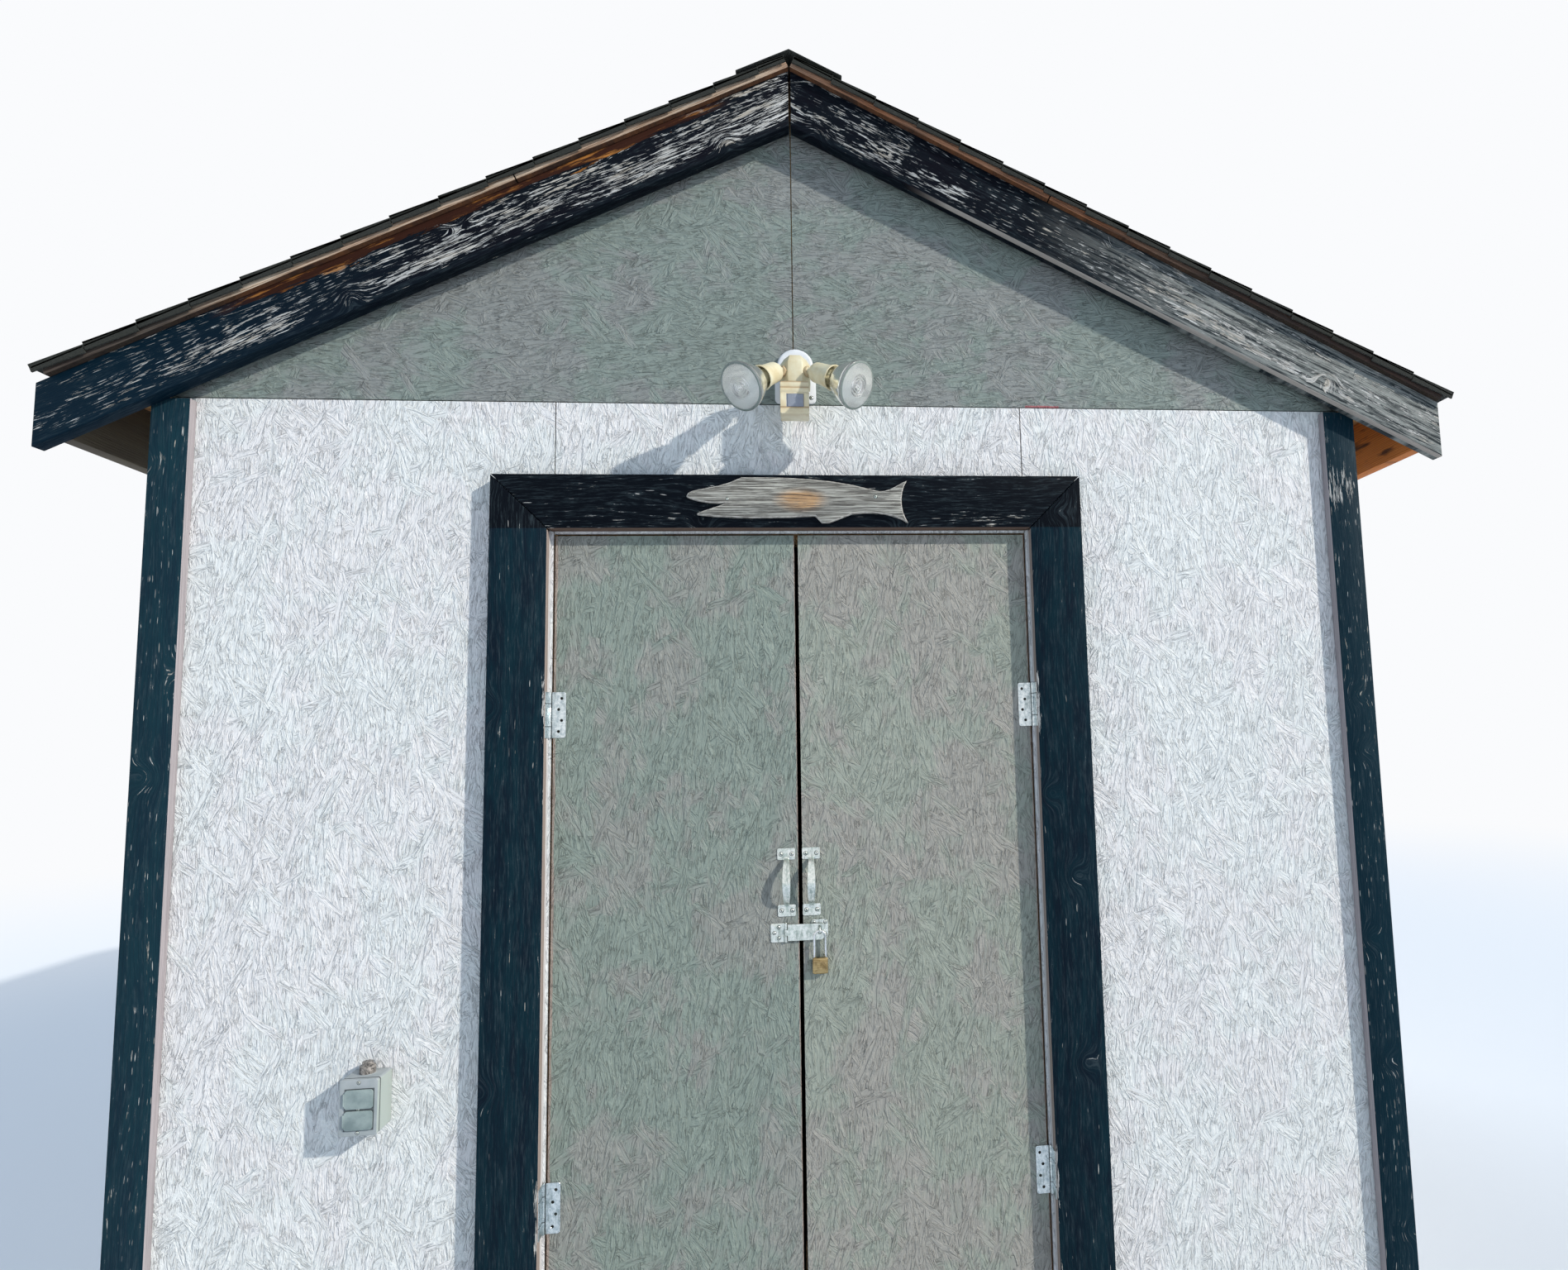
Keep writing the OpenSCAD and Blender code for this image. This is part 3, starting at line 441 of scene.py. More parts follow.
dress("front_wall", board_finish("white_front", "X", white, white_patch, 0.42, front_inside))
dress("side_walls", board_finish("white_side", "Y", white, white_patch, 0.42,
                                 lambda x, y: abs(x) < side_in + skin))
dress("back_wall", board_finish("white_back", "X", white, white_patch, 0.42, lambda x, y: y < back_in + skin))
dress("left_leaf", board_finish("grey_left_leaf", "X", rgb(135, 147, 138), rgb(145, 147, 141), 0.62,
                                front_inside, (0.0068, 0.6015)))
dress("right_leaf", board_finish("grey_right_leaf", "X", rgb(151, 158, 147), rgb(157, 155, 148), 0.62,
                                 front_inside, (0.0045, 0.605)))
gable_finish = board_finish("grey_gable", "Z", grey, grey_patch, 0.65)
dress("gable_walls", gable_finish)

# A brush of red along the foot of the front gable.
red_x, red_half_w, red_h = 0.674, 0.047, 0.009
painted, place, (x, y, z) = coat_of(gable_finish)
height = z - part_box("gable_walls")[0].z
streak = height < noise(point(x * 60, y, z), 1, 3) * red_h
streak = streak * (abs(x - red_x) < red_half_w) * (y < 0)
coat(gable_finish, tint(streak * 0.8, painted, rgb(170, 84, 92)))

# Floor
# Planks of sawn spruce laid front to back across the joists and nailed, gone grey under
# boots.


def piece(name, shape, finishes, slot, *stands_for, body="hut", pick=None):
    """A new piece from a mesh, with what carries it. Pick tells which of its finishes a face has."""
    smooth_deg = 35
    if pick:
        for face in shape.faces:
            face.material_index = pick(face)
    data = bpy.data.meshes.new(name)
    shape.to_mesh(data)
    shape.free()
    data.shade_smooth()
    data.set_sharp_from_angle(angle=radians(smooth_deg))
    for finish in finishes:
        data.materials.append(finish)
    made = linked(name, data)
    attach(made, body)
    if stands_for:
        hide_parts(*stands_for)


def block(shape, low, high, place=Matrix()):
    """A box between two corners, moved to a place of its own."""
    low, high = Vector(low), Vector(high)
    inner = move((low + high) / 2) @ Matrix.Diagonal((*(high - low), 1))
    bmesh.ops.create_cube(shape, size=1, matrix=place @ inner)


def outwards(shape):
    """Turns the faces of a closed shape to its outside."""
    bmesh.ops.recalc_face_normals(shape, faces=shape.faces)


def soften(shape, width, segments=1, least_deg=30):
    """Rounds every edge that is sharper than an angle."""
    sharp = [edge for edge in shape.edges if edge.calc_face_angle(0) > radians(least_deg)]
    bmesh.ops.bevel(shape, geom=sharp, offset=width, affect="EDGES", segments=segments, profile=0.5,
                    material=-1)


floor_low, floor_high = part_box("floor_boards")
planks, joint = 22, 0.002
plank = (floor_high.x - floor_low.x + joint) / planks
shape = bmesh.new()
for i in range(planks):
    left = floor_low.x + i * plank
    block(shape, (left, floor_low.y, floor_low.z), (left + plank - joint, floor_high.y, floor_high.z))
soften(shape, 0.0012)
trodden = sawn_finish("trodden_spruce", "Y", rgb(176, 150, 114), rgb(120, 92, 62), knot_brown,
                      (plank, 9, 9), 0.55)
piece("floor_planks", shape, [trodden], "weathered_wood", "floor_boards")

# Cleats
# Strips of raw board nailed up inside, behind the joints of the wall sheets that don't
# fall on a stud.
cleat_low, cleat_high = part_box("sole_plates")[1].z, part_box("top_plates")[0].z
header_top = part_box("door_header")[1].z
cleat_w, cleat_t, wall_joint = 0.064, 0.018, 0.611
side_joints = ((-0.366, -0.3022), (0.8865, 0.9505))
shape = bmesh.new()
for side in (1, -1):
    x0, x1 = sorted((side * (wall_joint - cleat_w / 2), side * (wall_joint + cleat_w / 2)))
    block(shape, (x0, back_in - cleat_t, cleat_low), (x1, back_in, cleat_high))
    block(shape, (x0, front_in, header_top), (x1, front_in + cleat_t, cleat_high))
    x0, x1 = sorted((side * (side_in - cleat_t), side * side_in))
    for y0, y1 in side_joints:
        block(shape, (x0, y0, cleat_low), (x1, y1, cleat_high))
soften(shape, 0.001)
piece("joint_cleats", shape, [stud_wood], "framing")

# Roof boards, fascias and rake strips
# Sheets of strand board nailed over the rafters with their long edges level, and raw
# two-by-six fascias on the rafter tails. Sun and rain have bleached the outer edges, and the
# wood under them is orange and brown. Shade under the overhang, at the eave corners and on
# the left fascia is painted into the wood as darker brown.
ridge_z, slope_angle = 3.432, atan(0.5)
roof_low, roof_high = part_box("roof_boards")
fall, rise = cos(slope_angle), sin(slope_angle)


def slope(side):
    """The place of one roof slope: X runs down it from the ridge and Z stands square to it."""
    right = move((0, 0, ridge_z)) @ rotate(slope_angle, 4, "Y")
    return Matrix.Diagonal((side, 1, 1, 1)) @ right


def sloped(x, z):
    """A point's distance down the roof from the ridge line, and its height over the rafters."""
    half, under = abs(x), ridge_z - z
    return half * fall + under * rise, half * rise - under * fall


# The left slope ends a little short of the right one.
deck_t, left_short, eave_inset = 0.018, 0.03, 0.008
deck_top, row_joint, end_joint = 0.0017, (0.776, 0.779), (0.824, 0.827)
shape = bmesh.new()
for side in (1, -1):
    eave_x = (roof_high.x - eave_inset) / fall - (left_short if side < 0 else 0)
    for x0, x1 in ((deck_top, row_joint[0]), (row_joint[1], eave_x)):
        for y0, y1 in ((roof_low.y, end_joint[0]), (end_joint[1], roof_high.y)):
            block(shape, (x0, y0, 0), (x1, y1, deck_t), slope(side))
outwards(shape)
soften(shape, 0.0008)
deck, place, (x, y, z) = finish_named("roof_sheets")
down, up = sloped(x, z)
board = add("Group", {"Vector": point(down, y, 0)}, node_tree=strands)
colour = tint(board["Tone"], rgb(208, 160, 98), rgb(150, 98, 54))
colour = tint(spread(board["Fibre"], 0.4, 0.8, 0, 0.5), colour, rgb(108, 66, 36))
overhang_y, sawn_face = 1.54, 0.0006
rake = abs(y) > roof_high.y - sawn_face
streak = noise(point(down * 9, up * 420, x), 1, 5, 0.7)
broad = noise(point(x * 1.7, 0, 3), 1, 3, 0.6)
bleached = tint(spread(streak, 0.42, 0.62), rgb(214, 198, 176), rgb(128, 92, 62))
rotten = tint(spread(streak, 0.4, 0.6), rgb(176, 106, 60), rgb(66, 40, 30))
rust = spread(x, -0.1, 0.1, 0, 0.65) + spread(broad, 0.4, 0.6, 0, 0.35)
# Towards the eave corners the rake edges and the underside darken to near black, as painted shade under the
# roof corners.
tail = most(spread(x, 0.8, 1.15), spread(x, -1.3, -1.5))
edge_colour = tint(tail * 0.9, tint(rust, bleached, rotten), rgb(34, 30, 30))
# The underside of the overhang is painted dark brown, as the shade under it.
overhang_shade = tint(spread(streak, 0.4, 0.62), rgb(110, 66, 36), rgb(46, 28, 22))
overhang_shade = tint(tail, overhang_shade, rgb(30, 26, 25))
colour = tint((abs(y) > overhang_y) * 0.95, colour, overhang_shade)
coat(deck, tint(rake, colour, edge_colour), 0.8, choose(rake, board["Height"], streak), 0.0018)
piece("roof_sheets", shape, [deck], "weathered_wood", "roof_boards")


def worn_piece(name, node, finishes, slot, width, segments=2, least_deg=40, body="hut", pick=None):
    """A piece with the shape of a packed one, its edges rounded by wear."""
    shape = bmesh.new()
    shape.from_mesh(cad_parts[node].data)
    bmesh.ops.remove_doubles(shape, verts=shape.verts, dist=1e-6)
    bmesh.ops.dissolve_limit(shape, angle_limit=radians(2), verts=shape.verts, edges=shape.edges)
    soften(shape, width, segments, least_deg)
    piece(name, shape, finishes, slot, node, body=body, pick=pick)


fascia_wood = sawn_finish("fascia_wood", "Y", rgb(226, 138, 58), rgb(150, 74, 26), rgb(60, 28, 14), (1, 9, 9))
bare, place, (x, y, z) = coat_of(fascia_wood)
dark = noise(point(x, y * 3, z * 16), 1, 4, 0.6)
bare = tint(spread(dark, 0.55, 0.62, 0, 0.85), bare, rgb(46, 26, 16))
# The left fascia is painted a dark grey-brown, as the shade it lies in.
left_fascia_shade = tint(noise(point(x, y, z * 30), 6, 4), rgb(104, 92, 70), rgb(70, 60, 50))
outer = abs(x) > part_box("eave_fascias")[1].x - 0.002
colour = tint(x < 0, bare, left_fascia_shade)
weathered = tint(1, colour, (0.42, 0.47, 0.6), "MULTIPLY")
coat(fascia_wood, tint(outer, colour, weathered))
worn_piece("fascia_boards", "eave_fascias", [fascia_wood], "weathered_wood", 0.0015)
packing = sawn_finish("packing_wood", "X", rgb(176, 130, 84), rgb(118, 76, 44), knot_brown, (1.6, 9, 9), 0.3)
bare, place, (x, y, z) = coat_of(packing)
# Towards the eave corners the packing darkens to near black, as painted shade under the roof corners.
tail = most(spread(x, 0.8, 1.15), spread(x, -1.2, -1.4))
coat(packing, tint(tail * 0.9, bare, rgb(34, 30, 30)))
worn_piece("rake_packing", "rake_strips", [packing], "weathered_wood", 0.001)

# Shingles
# Asphalt shingles cut in tabs, one foot wide, with dark mineral granules pressed into the
# face. The tabs of each course lie over the joints of the one below, and the caps are
# bent over the ridge.
course, tab, slit, sheet_t = 0.127, 0.305, 0.008, 0.0045
granules, place, _ = finish_named("granules")
speck = axes(add("TexVoronoi", {"Vector": place, "Scale": 640})["Color"])
x, y, z = axes(place)
down, up = sloped(x, z)
tab_place = vector("SNAP", point(down, y, calc("SIGN", x)), (course, tab / 2, 1))
tab_seed = add("TexWhiteNoise", {"Vector": tab_place})["Value"]
colour = tint(spread(speck[0], 0.1, 0.95), rgb(28, 31, 32), rgb(92, 95, 92))
colour = tint(spread(tab_seed, 0, 1, 0, 0.45), colour, rgb(44, 47, 44))
mould = spread(noise(place, 3.1, 5, 0.6), 0.48, 0.64, 0, 0.5)
colour = tint(mould * speck[1], colour, rgb(74, 78, 60))
shingle_low, shingle_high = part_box("shingles")
cut_y = shingle_high.y - 0.0008
colour = tint((abs(y) > cut_y) * 0.75, colour, rgb(40, 42, 38))
coat(granules, colour, 0.92, speck[0], 0.0009, **{"Specular IOR Level": 0.25})

butt_h, under_h, felt, starter_t, lap, rows = 0.013, 0.0072, 0.0005, 0.004, 0.05, 16
roof_reach, ridge_gap, eave_gap, left_trim, least_tab, lip_w = 2.0225, 0.004, 0.004, 0.006, 0.01, 0.004
rng = random.Random(11)
shape = bmesh.new()
lean_tab = rotate(-atan((butt_h - under_h) / course), 4, "Y")
# A starter sheet on each slope, then the rows of tabs, each with a drooping lip at both gables.
for side in (1, -1):
    reach = roof_reach - (left_short + left_trim if side < 0 else 0)
    block(shape, (ridge_gap, shingle_low.y, deck_t + felt),
          (reach - eave_gap, shingle_high.y, deck_t + starter_t), slope(side))
    for row in range(rows):
        butt_x = reach - row * course
        length = min(course + lap, butt_x - ridge_gap)
        start = shingle_low.y - (row % 2) * tab / 2
        while start < shingle_high.y:
            y0, y1 = max(start, shingle_low.y), min(start + tab - slit, shingle_high.y)
            if y1 - y0 > least_tab:
                end_x = butt_x + rng.uniform(-0.002, 0)
                lift = move((end_x, 0, deck_t + butt_h + rng.uniform(-0.001, 0.0006)))
                block(shape, (-length, y0, -sheet_t), (0, y1, 0), slope(side) @ lift @ lean_tab)
            start += tab
        for front in (1, -1):
            y0, y1 = sorted((front * shingle_low.y, front * (shingle_low.y + lip_w)))
            low_x, sag = max(butt_x - course + 0.0015, ridge_gap), rng.uniform(0.013, 0.017)
            lip = move((butt_x, 0, deck_t + butt_h)) @ lean_tab
            block(shape, (low_x - butt_x, y0, -sag - sheet_t), (-0.0012, y1, -0.0006), slope(side) @ lip)
outwards(shape)
piece("shingle_tabs", shape, [granules], "shingle", "shingles")
worn_piece("ridge_cap_tabs", "ridge_caps", [granules], "shingle", 0.0008, 1)

# Black trim
# Two-by-six barge boards and door casing and two-by-four corner boards, brushed with
# black paint. It has let go along the grain, most of all on the barge boards, down to the
# silver wood.
flaked, takes, gives = group(
    "flaked_paint", [("Along", 0), ("Contour", 0), ("Seed", 0),
                     ("Bare", 0.1), ("Dashes", 0.1)], ["Gone", "Patches", "Streaks"])
ripple = takes["Contour"] + noise(point(takes["Along"] * 9, takes["Contour"] * 60, 0)) * 0.006
lines = point(takes["Along"], ripple, takes["Seed"])
patches = noise(placed(lines, (6, 40, 1)), 1, 5, 0.7)
streaks = noise(placed(lines, (20, 230, 1)), 1, 4, 0.7)
limit = spread(takes["Bare"], 0, 1, 0.66, 0.44)
large = spread(patches * 0.3 + streaks * 0.7 - limit, -0.006, 0.012)
cell = add("TexVoronoi", {"Vector": placed(lines, (30, 440, 1)), "Scale": 1})
luck = axes(cell["Color"])
dash = spread(spread(luck[1], 0, 1, 0.12, 0.42) - cell["Distance"], 0, 0.06)
dash = dash * (luck[0] < takes["Dashes"]) * spread(patches, 0.4, 0.5)
feed(gives, {"Gone": most(large, dash), "Patches": patches, "Streaks": streaks})


def drawn(value, points):
    """A value read off a line through points, against another value from 0 to 1."""
    made = add("FloatCurve", {"Value": value})
    line = made.node.mapping.curves[0]
    line.points[0].location, line.points[1].location = points[0], points[-1]
    for at, level in points[1:-1]:
        line.points.new(at, level)
    made.node.mapping.update()
    return made[0]


def spot(x, z, middle, size):
    """How near a point of the front is to a place on it, from 1 at the place to 0."""
    flat = placed(point(x, z, 0), (1 / size[0], 1 / size[1], 1),
                  moved=(-middle[0] / size[0], -middle[1] / size[1], 0))
    return spread(vector("LENGTH", flat), 0.2, 1, 1, 0, "SMOOTHSTEP")


def black_paint(finish, own, bare, dashes, hues, raw=None, tan=None, other=None):
    """Flaking black paint of two hues. Own is the point in the board's own axes. Bare and dashes are the
    shares of large and small flakes, and tan that of tan wood. Raw and other are each a share with its
    colour, for wood that was never painted and for another paint."""
    wood = add("Group", {"Vector": own, "Ring Width": 0.006}, node_tree=grain)
    length, across, seed = axes(own)
    paint = add("Group", {"Along": length, "Contour": wood["Contour"], "Seed": seed, "Bare": bare,
                          "Dashes": dashes}, node_tree=flaked)
    fibre, patches, streaks, gone = wood["Fibre"], paint["Patches"], paint["Streaks"], paint["Gone"]
    silver = tint(spread(fibre, 0.35, 0.65), rgb(218, 219, 217), rgb(134, 132, 128))
    silver = tint(wood["Rings"] * 0.45, silver, rgb(104, 98, 90))
    silver = tint(spread(patches, 0.52, 0.66, 0, 0.5), silver, rgb(168, 154, 132))
    black = tint(spread(patches, 0.38, 0.6), *hues)
    if other:
        black = tint(other[0], black, other[1])
    # Lighter streaks along the brush strokes are a painted sheen on the black paint.
    black = tint(spread(streaks, 0.5, 0.72, 0, 0.4), black, rgb(72, 86, 92))
    if tan:
        ragged = spread(tan + streaks * 0.7, 0.72, 0.8)
        brown_wood = tint(spread(fibre, 0.35, 0.65), rgb(186, 140, 92), rgb(110, 70, 44))
        silver = tint(ragged, silver, brown_wood)
        gone = most(gone, ragged)
    colour = tint(gone, black, silver)
    if raw:
        share, pale = raw
        shaded = tint(1, pale, (0.5, 0.5, 0.5), "MULTIPLY", share.tree)
        pale = tint(spread(fibre, 0.35, 0.7, 0, 0.6), pale, shaded)
        colour = tint(share, colour, pale)
        gone = most(gone, share)
    relief = wood["Rings"] * 0.4 - gone * 0.6 + fibre * 0.35
    coat(finish, colour, spread(gone, 0, 1, 0.55, 0.85), relief, 0.0012, **{"Specular IOR Level": 0.05})


# The barge boards. How much paint has gone, from the left tail over the peak to the right
# one, is drawn for the boards' top and for their foot.
barge_paint, place, (x, y, z) = finish_named("barge_paint")
board_w, side_reach, foot_strip = 0.140 / fall, 1.8, 0.018
tan_place, tan_size = (-1.2, 2.85), (0.17, 0.05)
down, up = sloped(x, z)
own = point(down + calc("SIGN", x) * 7.3, up, y)
below = (ridge_z - abs(x) * 0.5 - z) / board_w
along = spread(x, -side_reach, side_reach)
foot_bare = drawn(along, [(0, 0.46), (0.08, 0.5), (0.142, 0.75), (0.18, 0.5), (0.25, 0.75), (0.31, 0.7),
                          (0.37, 0.7), (0.4, 0.78), (0.45, 0.82), (0.497, 0.85), (0.503, 0.6), (0.58, 0.65),
                          (0.61, 0.7), (0.66, 0.35), (0.78, 0.58), (0.83, 0.66), (0.92, 0.68), (1, 0.6)])
top_bare = drawn(along, [(0, 0.36), (0.1, 0.36), (0.18, 0.42), (0.3, 0.5), (0.37, 0.4), (0.45, 0.45),
                         (0.497, 0.65), (0.503, 0.4), (0.6, 0.35), (0.7, 0.2), (0.78, 0.4), (0.92, 0.52),
                         (1, 0.45)])
# Flakes stop short of the board's bottom edge, so its lowest part stays black as painted shade under the
# board.
bare = choose(spread(below, 0.15, 0.6), top_bare, foot_bare) * spread(below, 0.86, 0.93, 0.93, 0)
dashes = drawn(along, [(0, 0.12), (0.17, 0.2), (0.3, 0.3), (0.5, 0.3), (0.58, 0.45), (0.67, 0.35),
                       (0.78, 0.5), (0.9, 0.6), (1, 0.5)])
# The front of the right board's foot was never painted, and the left one's top has rotted.
# Behind the raw strip the foot's underside stays black, as painted shade between board and gable.
foot = (below > 0.988) * spread(x, 0.3, 0.42) * (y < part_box("barge_boards")[0].y + foot_strip)
worm = noise(point(x * 7, below * 9, 4), 1, 5, 0.7)
top = (below + worm * 0.5 - 0.42 < 0) * spread(x, -0.15, -0.3) * spread(x, -1.42, -1.3)
rotten = tint(spread(worm, 0.32, 0.44), rgb(176, 118, 60), rgb(58, 34, 26))
raw = (most(foot, top), tint(foot, rotten, rgb(178, 170, 162)))
right = x > 0
streak = noise(placed(own, (7, 130, 1)), 1, 5, 0.75)
thin = tint(spread(streak, 0.43, 0.56), rgb(34, 42, 46), rgb(136, 140, 137))
far = choose(right, spread(x, -0.9, -1.6), spread(x, 0.65, 1.15))
black_paint(barge_paint, own, bare, dashes * (below < 0.97), (rgb(8, 10, 20), rgb(10, 18, 26)), raw,
            spot(x, z, tan_place, tan_size) * 0.75, (far, tint(right, rgb(6, 30, 44), thin)))
worn_piece("barge_timbers", "barge_boards", [barge_paint], "black_trim", 0.002)


def upright(x, y, z):
    """Lengthwise up a board, with another grain on the left of the hut than on the right."""
    return point(z, x, y + calc("SIGN", x) * 3)


# The corner boards. The edge beside the wall sheet took no paint.
corner_hues = (rgb(20, 42, 54), rgb(22, 50, 60))
corner_w, scrape_place, scrape_size = 0.089, (1.5, 2.3), (0.09, 0.09)
corner_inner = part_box("end_corner_boards")[1].x - corner_w
corner_paint, place, (x, y, z) = finish_named("corner_paint")
scraped = spot(x, z, scrape_place, scrape_size) * 0.6 + 0.14
black_paint(corner_paint, upright(x, y, z), scraped, 0.12, corner_hues,
            (abs(x) < corner_inner + 0.0008, rgb(176, 168, 170)), None, ((x > 0) * 0.7, rgb(6, 34, 46)))
worn_piece("front_corner_timbers", "end_corner_boards", [corner_paint], "black_trim", 0.0018)
side_paint, place, _ = finish_named("side_corner_paint")
black_paint(side_paint, upright(*axes(place)), 0.14, 0.1, corner_hues)
worn_piece("side_corner_timbers", "side_corner_boards", [side_paint], "black_trim", 0.0018)

# The casing, with its grain up the legs and along the head, on either side of the mitres.
# Inside the doorway its front part is raw, and the rest took the white of the walls.
casing_in, head_foot, reveal_foot, white_y = 0.618, 2.1875, 0.098, -1.548
hinge_heights = (0.559, 1.722)
casing_paint, place, (x, y, z) = finish_named("casing_paint")
own = choose(z - head_foot > abs(x) - casing_in, upright(x, y, z), point(x, z, y), "VECTOR")
arris = spread(abs(x), casing_in + 0.004, casing_in + 0.012, 1, 0)
near = least(*(abs(z - height) for height in hinge_heights))
head = spot(x, z, (-0.42, 2.22), (0.26, 0.05)) + spot(x, z, (0.5, 2.22), (0.16, 0.05))
bare = arris * spread(near, 0.07, 0.1, 0.75, 0.15) + head * 0.12
reveal = (abs(x) < casing_in + 0.001) * (z < head_foot + 0.001) * (z > reveal_foot)
# The head's underside is a darker brown than the raw jambs, as painted shade under the head.
raw = (reveal, tint(z > head_foot - 0.004, rgb(160, 146, 138), rgb(112, 94, 84)))
black_paint(casing_paint, own, bare, 0.018, (rgb(12, 26, 38), rgb(12, 38, 48)), raw, None,
            (z > head_foot + 0.001, rgb(6, 12, 20)))
wavy = y + noise(point(0, x, z), 14) * 0.008
brushed_white = reveal * (wavy > white_y) * (z < head_foot - 0.002)
painted, place, _ = coat_of(casing_paint)
coat(casing_paint, tint(brushed_white, painted, rgb(206, 203, 202)))
worn_piece("casing_timbers", "door_casing", [casing_paint], "black_trim", 0.0018)

# Hinges, handles, hasp and staple plate
# Pressed mild steel, zinc plated and bright, held by countersunk screws. Their recesses, the
# hinge screws in their holes and the plates' narrow sides are painted dark as shade.


def zinc_finish(name, pale, dark, rough=0.22):
    """Zinc plating with its spangle and the lines of the press, with rougher patches that are painted dark as
    reflection.
    """
    made, place, _ = finish_named(name)
    spangle = noise(place, 130, 4, 0.65)
    x, y, z = axes(place)
    drawn_lines = noise(point(x * 900, y, z * 60), 1, 2)
    # Dull marks patches that are rougher and also painted dark teal, as a painted reflection.
    dull = noise(point(x * 110, y, z * 26), 1, 4, 0.65)
    dull = spread(dull, 0.52, 0.66, 0, 0.5)
    colour = tint(dull, tint(spread(spangle, 0.4, 0.65), pale, dark), rgb(108, 126, 124))
    coat(made, colour, spread(spangle, 0.3, 0.7, rough, rough + 0.1) + dull * 0.3,
         spangle + drawn_lines * 0.3, 0.0002, Metallic=1)
    return made


zinc = zinc_finish("zinc", rgb(236, 240, 236), rgb(186, 200, 194))
# A dark zinc that stands for shade: on the plates' narrow sides, in the screws' recesses and on the hinge
# screws in their holes.
shade_zinc = zinc_finish("shade_zinc", rgb(72, 74, 72), rgb(44, 46, 46), 0.5)
face_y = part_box("front_wall")[0].y


def on_rim(face):
    """The narrow sides of a plate, which are painted dark as shade along the wood."""
    return abs(face.normal.y) < 0.3 and all(v.co.y > face_y - 0.009 for v in face.verts)


pin_x, knuckle_r, knuckle_half = 0.6145, 0.0042, 0.0285
hinge_zinc = zinc_finish("hinge_zinc", rgb(226, 234, 236), rgb(176, 190, 196))
plated, place, (x, y, z) = coat_of(hinge_zinc)
half = abs(x)
# Dark lines are painted where the knuckles meet each other and the leaves, as shade in those gaps.
seam_shade = spread(abs(half - (pin_x - knuckle_r)), 0.0004, 0.001, 1, 0)
for hinge_z in hinge_heights:
    for joint_z in (hinge_z + knuckle_half, hinge_z - knuckle_half):
        near = spread(abs(z - joint_z), 0.0006, 0.0014, 1, 0)
        seam_shade = most(seam_shade, near * (half > pin_x - 0.004))
coat(hinge_zinc, tint(seam_shade * 0.85, plated, rgb(40, 48, 52)))
ironwork = (("hinge_leaves_on_casing", "fixed_hinge_leaves", "hut"),
            ("hinge_leaves_left", "left_hinge_leaves", "left_door"),
            ("hinge_leaves_right", "right_hinge_leaves", "right_door"),
            ("pull_left", "left_handle", "left_door"), ("pull_right", "right_handle", "right_door"),
            ("hasp_steel", "hasp", "left_door"), ("staple_steel", "staple_plate", "right_door"))
for name, node, body in ironwork:
    plate = hinge_zinc if "hinge" in name else zinc
    worn_piece(name, node, [plate, shade_zinc], "zinc", 0.0004, 1, body=body, pick=on_rim)


def screw(shape, spot, r, rise):
    """The domed head of a cross-recessed screw in its countersink, facing forwards."""
    place = move(spot) @ rotate(radians(90), 4, "X")
    place = place @ rotate(0.4 + 97 * spot[0], 4, "Z")
    sink = place @ move((0, 0, 0.0001))
    bmesh.ops.create_circle(shape, cap_ends=True, segments=24, radius=1.3 * r, matrix=sink)
    rings = []
    for wide, up in ((1, 0.05), (0.92, rise * 0.5), (0.7, rise)):
        ring = place @ move((0, 0, up * r))
        rings.append(bmesh.ops.create_circle(shape, segments=24, radius=wide * r, matrix=ring)["verts"])
    for up, size in ((rise, 1), (rise - 0.4, 0.6)):
        loop = []
        for quarter in range(4):
            arm = place @ rotate(quarter * pi / 2, 4, "Z")
            for x, y in ((0.5, -0.13), (0.5, 0.13), (0.13, 0.13)):
                loop.append(shape.verts.new(arm @ Vector((x * size * r, y * size * r, up * r))))
        for pair in zip(loop, loop[1:] + loop[:1]):
            shape.edges.new(pair)
        rings.append(loop)
    shape.faces.new(rings[-1])
    for near, far in zip(rings, rings[1:]):
        edges = [edge for ring in (near, far) for edge in {e for v in ring for e in v.link_edges}
                 if edge.verts[0] in ring and edge.verts[1] in ring]
        bmesh.ops.bridge_loops(shape, edges=edges)


def screws(name, spots, body="hut", rise=0.3, bright=True):
    """Screw heads in one piece, from the place and size of each. The recesses, and without bright the whole
    heads, are painted dark as shade.
    """
    shape = bmesh.new()
    for x, y, z, r in spots:
        screw(shape, (x, y, z), r, rise)
    outwards(shape)
    if bright:
        piece(name, shape, [zinc, shade_zinc], "zinc", body=body, pick=lambda face: len(face.verts) > 8)
    else:
        piece(name, shape, [shade_zinc], "zinc", body=body)


handle_z, handle_screw_x, handle_screw_z = 1.290, 0.0135, 0.0695
hinge_rows, hinge_pitch = (0.0205, 0.0277), 0.0274
hinge_t, handle_t, hasp_t = 0.0012, 0.002, 0.0021
hinge_head_r, handle_head_r, hasp_head_r = 0.0046, 0.0042, 0.0038
hasp_screws = [(-0.056, 1.180), (-0.067, 1.167), (-0.056, 1.154)]
staple_screws = [(0.046 + dx, 1.173 + dz) for dx in (-0.014, 0.014) for dz in (-0.016, 0.016)]
for side, body, end, handle_x, plate in ((-1, "left_door", "left", -0.035, hasp_screws),
                                         (1, "right_door", "right", 0.027, staple_screws)):
    heads = [(side * (pin_x - hinge_rows[i % 2]), face_y - hinge_t, hinge_z + (i - 1.5) * hinge_pitch,
              hinge_head_r) for hinge_z in hinge_heights for i in range(4)]
    screws("hinge_screws_" + end, heads, body, 0.2, bright=False)
    heads = [(handle_x + dx, face_y - handle_t, handle_z + dz, handle_head_r)
             for dx in (-handle_screw_x, handle_screw_x) for dz in (-handle_screw_z, handle_screw_z)]
    screws("screws_" + end, heads + [(x, face_y - hasp_t, z, hasp_head_r) for x, z in plate], body)

